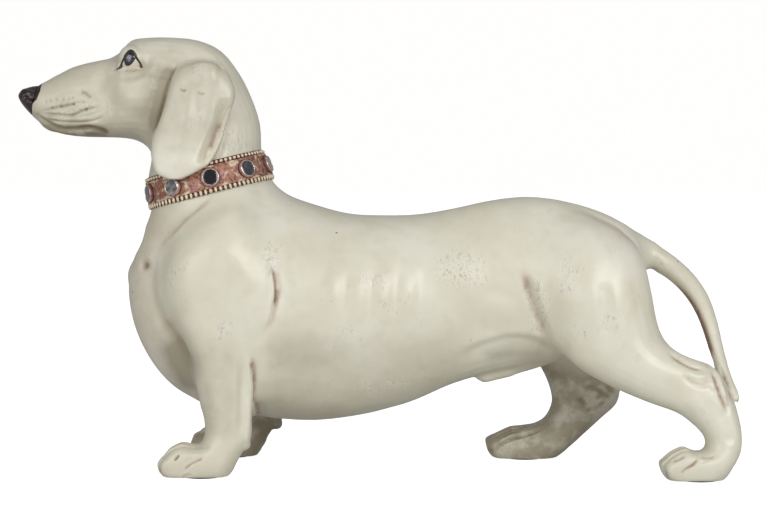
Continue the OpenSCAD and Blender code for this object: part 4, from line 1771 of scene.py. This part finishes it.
@dataclass
class Collar:
    """Band, beaded edges, cups and stones. Lengths are in millimetres."""

    copper: bpy.types.Material
    beading: bpy.types.Material
    metal: bpy.types.Material
    glass: dict[StoneToneAndReflection, bpy.types.Material]
    band_low: float = -5.2
    band_high: float = 7.0
    band_thick: float = 1.9
    edge: float = 2.4
    stones: int = 10
    stone_width: float = 8.0
    cup_rim: float = 1.9
    foil: float = 0.3
    phase: float = 7.0
    lift: float = 0.7
    # each stone's tone, partly a painted reflection
    order: tuple[StoneToneAndReflection, ...] = (
        StoneToneAndReflection.BLACK, StoneToneAndReflection.SLATE, StoneToneAndReflection.MIST, StoneToneAndReflection.BLACK, StoneToneAndReflection.CLEAR,
        StoneToneAndReflection.SLATE, StoneToneAndReflection.MIST, StoneToneAndReflection.BLACK, StoneToneAndReflection.LILAC, StoneToneAndReflection.CLEAR)

    def build(self) -> list[bpy.types.Object]:
        """Makes every piece of the collar.

        Returns:
            The pieces.
        """
        made = [self.band(), self.upper_edge(), self.lower_edge()]
        for index in range(self.stones):
            made += self.set_stone(index)
        return made

    def band(self) -> bpy.types.Object:
        """The band, with a low raised border on each side."""
        low, high = self.band_low, self.band_high
        rows = ((low, 1.75), (low + 0.8, 1.8), (low + 1.5, 1.4), ((low + high) / 2, 1.55), (high - 1.5, 1.4),
                (high - 0.8, 1.8), (high, 1.75))
        outer = [(NECK.radius(h) + t, h) for h, t in rows]
        inner = [(NECK.radius(high) + 0.02, high), (NECK.radius(low) + 0.02, low)]
        ring = NECK.lathe(outer + inner, 200)
        band = new_piece("copper_band", ring)
        self.paint_border(band)
        return place_piece(band, "collar_copper", self.copper, "collar_band")

    def paint_border(self, band: bpy.types.Object) -> None:
        """Marks the raised borders, where the paint is rubbed through.

        Args:
            band: the collar's band.
        """
        back = NECK.matrix().inverted()
        heights = np.array([(back @ v.co).z for v in band.data.vertices])
        layer = band.data.attributes.new("edge", "FLOAT", "POINT")
        inset = np.minimum(heights - self.band_low, self.band_high - heights)
        layer.data.foreach_set("value", (1 - smooth_step(inset, 0.6, 2.0)).astype(np.float32))

    def bead_row(self, name: str, height: float, beads: int, size: Point3, node: str) -> bpy.types.Object:
        """A cord with a row of beads on it.

        Args:
            name: the piece's name.
            height: the row's height along the neck.
            beads: how many beads.
            size: a bead's width round the neck, depth and height.
            node: the frame node it stands for.

        Returns:
            The piece.
        """
        low = height - self.edge / 2
        high = height + self.edge / 2
        core = NECK.lathe([
            (NECK.radius(low) + 0.02, low), (NECK.radius(low) + 0.7, low),
                           (NECK.radius(height) + 0.95, height),
            (NECK.radius(high) + 0.7, high), (NECK.radius(high) + 0.02, high)], 208)
        row = bmesh.new()
        radius = NECK.radius(height) + 0.95
        for index in range(beads):
            turn = Matrix.Rotation(math.tau * index / beads, 4, "Z")
            grow = 1 + 0.12 * math.sin(index * 2.4)
            shape = Matrix.Diagonal((size[1], size[0] * grow, size[2] * (2 - grow), 1))
            bmesh.ops.create_icosphere(row, subdivisions=2, radius=0.5,
                                       matrix=turn @ Matrix.Translation((radius, 0, height)) @ shape)
        row.transform(NECK.matrix())
        piece = new_piece(name, joined([core, row]))
        back = NECK.matrix().inverted()
        spots = [back @ v.co for v in piece.data.vertices]
        out = np.array([math.hypot(p.x, p.y) - NECK.radius(p.z) for p in spots])
        layer = piece.data.attributes.new("gap", "FLOAT", "POINT")
        layer.data.foreach_set("value", (1 - smooth_step(out, 1.0, 1.25)).astype(np.float32))
        return place_piece(piece, "collar_edge", self.beading, node)

    def upper_edge(self) -> bpy.types.Object:
        """The row of small beads above the band."""
        height = self.band_high + self.edge / 2
        return self.bead_row("upper_beading", height, 78, (1.9, 1.75, 1.9), "collar_upper_edge")

    def lower_edge(self) -> bpy.types.Object:
        """The row of upright stitches below the band."""
        height = self.band_low - self.edge / 2
        return self.bead_row("lower_beading", height, 80, (1.75, 1.85, 3.2), "collar_lower_edge")

    def stone_place(self, index: int) -> Matrix:
        """A stone's frame, with Z straight out of the band.

        Args:
            index: the stone's number, from 0.

        Returns:
            The frame as a matrix.
        """
        turn = math.radians(self.phase - 90 + 360 * index / self.stones)
        lean = math.radians(90 - math.degrees(math.atan(NECK.taper)))
        out = Matrix.Translation((NECK.radius(self.lift) + self.band_thick, 0,
                                  self.lift)) @ Matrix.Rotation(lean, 4, "Y")
        return NECK.matrix() @ Matrix.Rotation(turn, 4, "Z") @ out

    def turned(self, profile: Sequence[Point2], index: int, steps: int = 56) -> bmesh.types.BMesh:
        """Turns a profile of (radius, height) points about a stone's own axis.

        Args:
            profile: the outline's points.
            index: the stone's number, from 0.
            steps: how many steps the turn has.

        Returns:
            The turned shape.
        """
        shape = bmesh.new()
        corners = [shape.verts.new((r, 0.0, h)) for r, h in profile]
        edges = [shape.edges.new((a, b)) for a, b in zip(corners, corners[1:])]
        if profile[0][0] > 0:
            edges.append(shape.edges.new((corners[-1], corners[0])))
        bmesh.ops.spin(shape, geom=corners + edges, cent=(0, 0, 0), axis=(0, 0, 1), angle=math.tau,
                       steps=steps,
                       use_merge=True)
        bmesh.ops.remove_doubles(shape, verts=shape.verts, dist=0.001)
        bmesh.ops.recalc_face_normals(shape, faces=shape.faces)
        shape.transform(self.stone_place(index))
        return shape

    def set_stone(self, index: int) -> list[bpy.types.Object]:
        """A cup with its stone.

        Args:
            index: the stone's place, counted from the dog's left side towards the tail.

        Returns:
            The cup and the stone.
        """
        r = self.stone_width / 2 + self.foil
        outer = r + self.cup_rim - self.foil - 0.4
        number = index + 1
        cup = self.turned([
            (r - 0.05, -1.6), (outer, -1.6), (outer, -0.1), (outer - 0.12, 0.3), (outer - 0.45, 0.6),
            (r + 0.75, 0.45), (r + 0.45, 0.7), (r + 0.3, 1.25), (r + 0.1, 1.42), (r - 0.12, 1.36)], index)
        cup_piece = new_piece(f"cup_{number}", cup)
        self.paint_cup(cup_piece, index, r)
        place_piece(cup_piece, "cup_metal", self.metal, f"stone_cup_{number}")
        stone = self.turned([
            (0, -1.6), (r - 0.15, -1.6), (r - 0.15, 1.2), (r - 0.3, 1.3), (r - 0.8, 1.36), (r - 1.8, 1.42),
            (r - 2.8, 1.45), (0, 1.47)], index)
        gem = new_piece(f"gem_{number}", stone)
        place_piece(gem, "stone_glass", self.glass[self.order[index]], f"stone_{number}")
        return [cup_piece, gem]

    def paint_cup(self, cup: bpy.types.Object, index: int, rim: float) -> None:
        """Marks the copper skirt outside a cup's bright rim.

        Args:
            cup: the cup's piece.
            index: the stone's number, from 0.
            rim: the bright rim's outer radius.
        """
        back = self.stone_place(index).inverted()
        spots = [back @ v.co for v in cup.data.vertices]
        away = np.array([math.hypot(p.x, p.y) for p in spots])
        layer = cup.data.attributes.new("skirt", "FLOAT", "POINT")
        layer.data.foreach_set("value", smooth_step(away, rim + 0.2, rim + 0.42).astype(np.float32))
        layer = cup.data.attributes.new("gap", "FLOAT", "POINT")
        low = np.array([p.z for p in spots])
        layer.data.foreach_set("value", (smooth_step(away, rim + 0.8, rim + 1.1)
                                         * (low < 0.35)).astype(np.float32))


# ------------------------------------------------------------------ felt pads


@dataclass
class FeltPad:
    """A felt disc under one foot."""

    name: str
    finish: bpy.types.Material

    def build(self) -> bpy.types.Object:
        """Cuts the disc from its place in the frame.

        Returns:
            The pad.
        """
        low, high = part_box(self.name)
        radius = (high.x - low.x) / 2
        disc = bmesh.new()
        bmesh.ops.create_cone(disc, cap_ends=True, segments=72, radius1=radius, radius2=radius,
                              depth=high.z - low.z,
                              matrix=Matrix.Translation((low + high) / 2))
        rims = [e for e in disc.edges if len(e.link_faces) == 2
                and any(len(f.verts) > 4 for f in e.link_faces)]
        bmesh.ops.bevel(disc, geom=rims, offset=0.0003, affect="EDGES", segments=3, profile=0.5, material=-1)
        pad = new_piece(f"{self.name}_felt", disc, smooth=False)
        return place_piece(pad, "pad_felt", self.finish, self.name)


# ------------------------------------------------------------------ studio


@dataclass
class Studio:
    """Floor, soft light and camera. Lengths are in metres."""

    camera_at: Point3 = (0.0043, -1.107, 0.160)
    lens: float = 92.9
    drop: float = 2.125
    roll: float = 0.4

    def build(self) -> None:
        """Sets the studio up."""
        self.floor()
        self.world()
        self.softbox("key", (0.75, -1.3, 0.66), (0.8, 0.6), 11.2)
        self.softbox("fill", (-0.75, -1.15, 0.5), (1.0, 0.8), 6.7)
        self.softbox("top", (0.1, 0.0, 1.5), (1.1, 0.8), 1.2)
        self.camera()
        bpy.context.scene.view_settings.view_transform = "Standard"

    def floor(self) -> None:
        """A wide pale floor."""
        disc = bmesh.new()
        bmesh.ops.create_circle(disc, cap_ends=True, segments=96, radius=30)
        floor = new_piece("studio_floor", disc, smooth=False)
        finish = Finish("floor_paper")
        finish.wire("Base Color", finish.blend(finish.noise(400, 2, 0.5), (0.72, 0.72, 0.71, 1),
                                               (0.76, 0.76, 0.75, 1)))
        finish.wire("Roughness", 0.9)
        seen = finish.node("ShaderNodeLightPath", {}, {}, "Is Camera Ray")
        finish.wire("Emission Color", finish.blend(seen, (0, 0, 0, 1), (0.92, 0.92, 0.92, 1)))
        finish.wire("Emission Strength", 1.0)
        floor.data.materials.append(finish.material)

    def world(self) -> None:
        """White to look at, softer as a light."""
        world = bpy.data.worlds.new("studio_white")
        bpy.context.scene.world = world
        world.use_nodes = True
        tree = world.node_tree
        background = tree.nodes["Background"]
        path = tree.nodes.new("ShaderNodeLightPath")
        strength = tree.nodes.new("ShaderNodeMapRange")
        strength.inputs["To Min"].default_value = 0.28
        strength.inputs["To Max"].default_value = 1.0
        tree.links.new(path.outputs["Is Camera Ray"], strength.inputs["Value"])
        tree.links.new(strength.outputs[0], background.inputs["Strength"])
        background.inputs["Color"].default_value = (1.0, 0.995, 0.985, 1.0)

    def softbox(self, name: str, place: Point3, size: Point2, power: float) -> None:
        """An area light aimed at the dog's middle.

        Args:
            name: the light's name.
            place: where it stands, in metres.
            size: its width and height.
            power: its power in watts.
        """
        light = bpy.data.lights.new(name, "AREA")
        light.shape = "RECTANGLE"
        light.size, light.size_y = size
        light.energy = power
        lamp = bpy.data.objects.new(name, light)
        lamp.location = place
        lamp.rotation_euler = (Vector((0, 0, 0.12)) - Vector(place)).to_track_quat("-Z", "Y").to_euler()
        bpy.context.scene.collection.objects.link(lamp)

    def camera(self) -> None:
        """A long lens at the height of the dog's back."""
        lens = bpy.data.cameras.new("camera")
        lens.lens = self.lens
        lens.sensor_width = 36
        eye = bpy.data.objects.new("camera", lens)
        tilt = Matrix.Rotation(math.radians(90 - self.drop), 4, "X")
        turn = tilt @ Matrix.Rotation(math.radians(self.roll), 4, "Z")
        eye.matrix_world = Matrix.Translation(self.camera_at) @ turn
        bpy.context.scene.collection.objects.link(eye)
        bpy.context.scene.camera = eye


def record_sizes() -> None:
    """Updates the view layer."""
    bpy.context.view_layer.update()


def main() -> None:
    """Builds every piece in order."""
    logging.basicConfig(level=logging.INFO, format="%(name)s: %(message)s")
    cream = CreamGlaze().material()
    BodyCasting(cream).build()
    HeadCasting(cream).build()
    Nose(DarkGlaze().material()).build()
    eye_glaze = EyeGlaze().material()
    for side in (Side.LEFT, Side.RIGHT):
        Eye(side, eye_glaze).build()
    beading = BeadPaint().material()
    glass = {tone: StoneGlass(f"stone_glass_{tone.name.lower()}", srgb(*tone.value[0]), srgb(*tone.value[1]),
                              tone.value[2]).material() for tone in StoneToneAndReflection}
    Collar(CollarCopper().material(), beading, CupMetal().material(), glass).build()
    felt = PadFelt().material()
    for foot in ("left_fore", "right_fore", "left_hind", "right_hind"):
        FeltPad(f"{foot}_pad", felt).build()
    Studio().build()
    record_sizes()


if __name__ == "__main__":
    main()
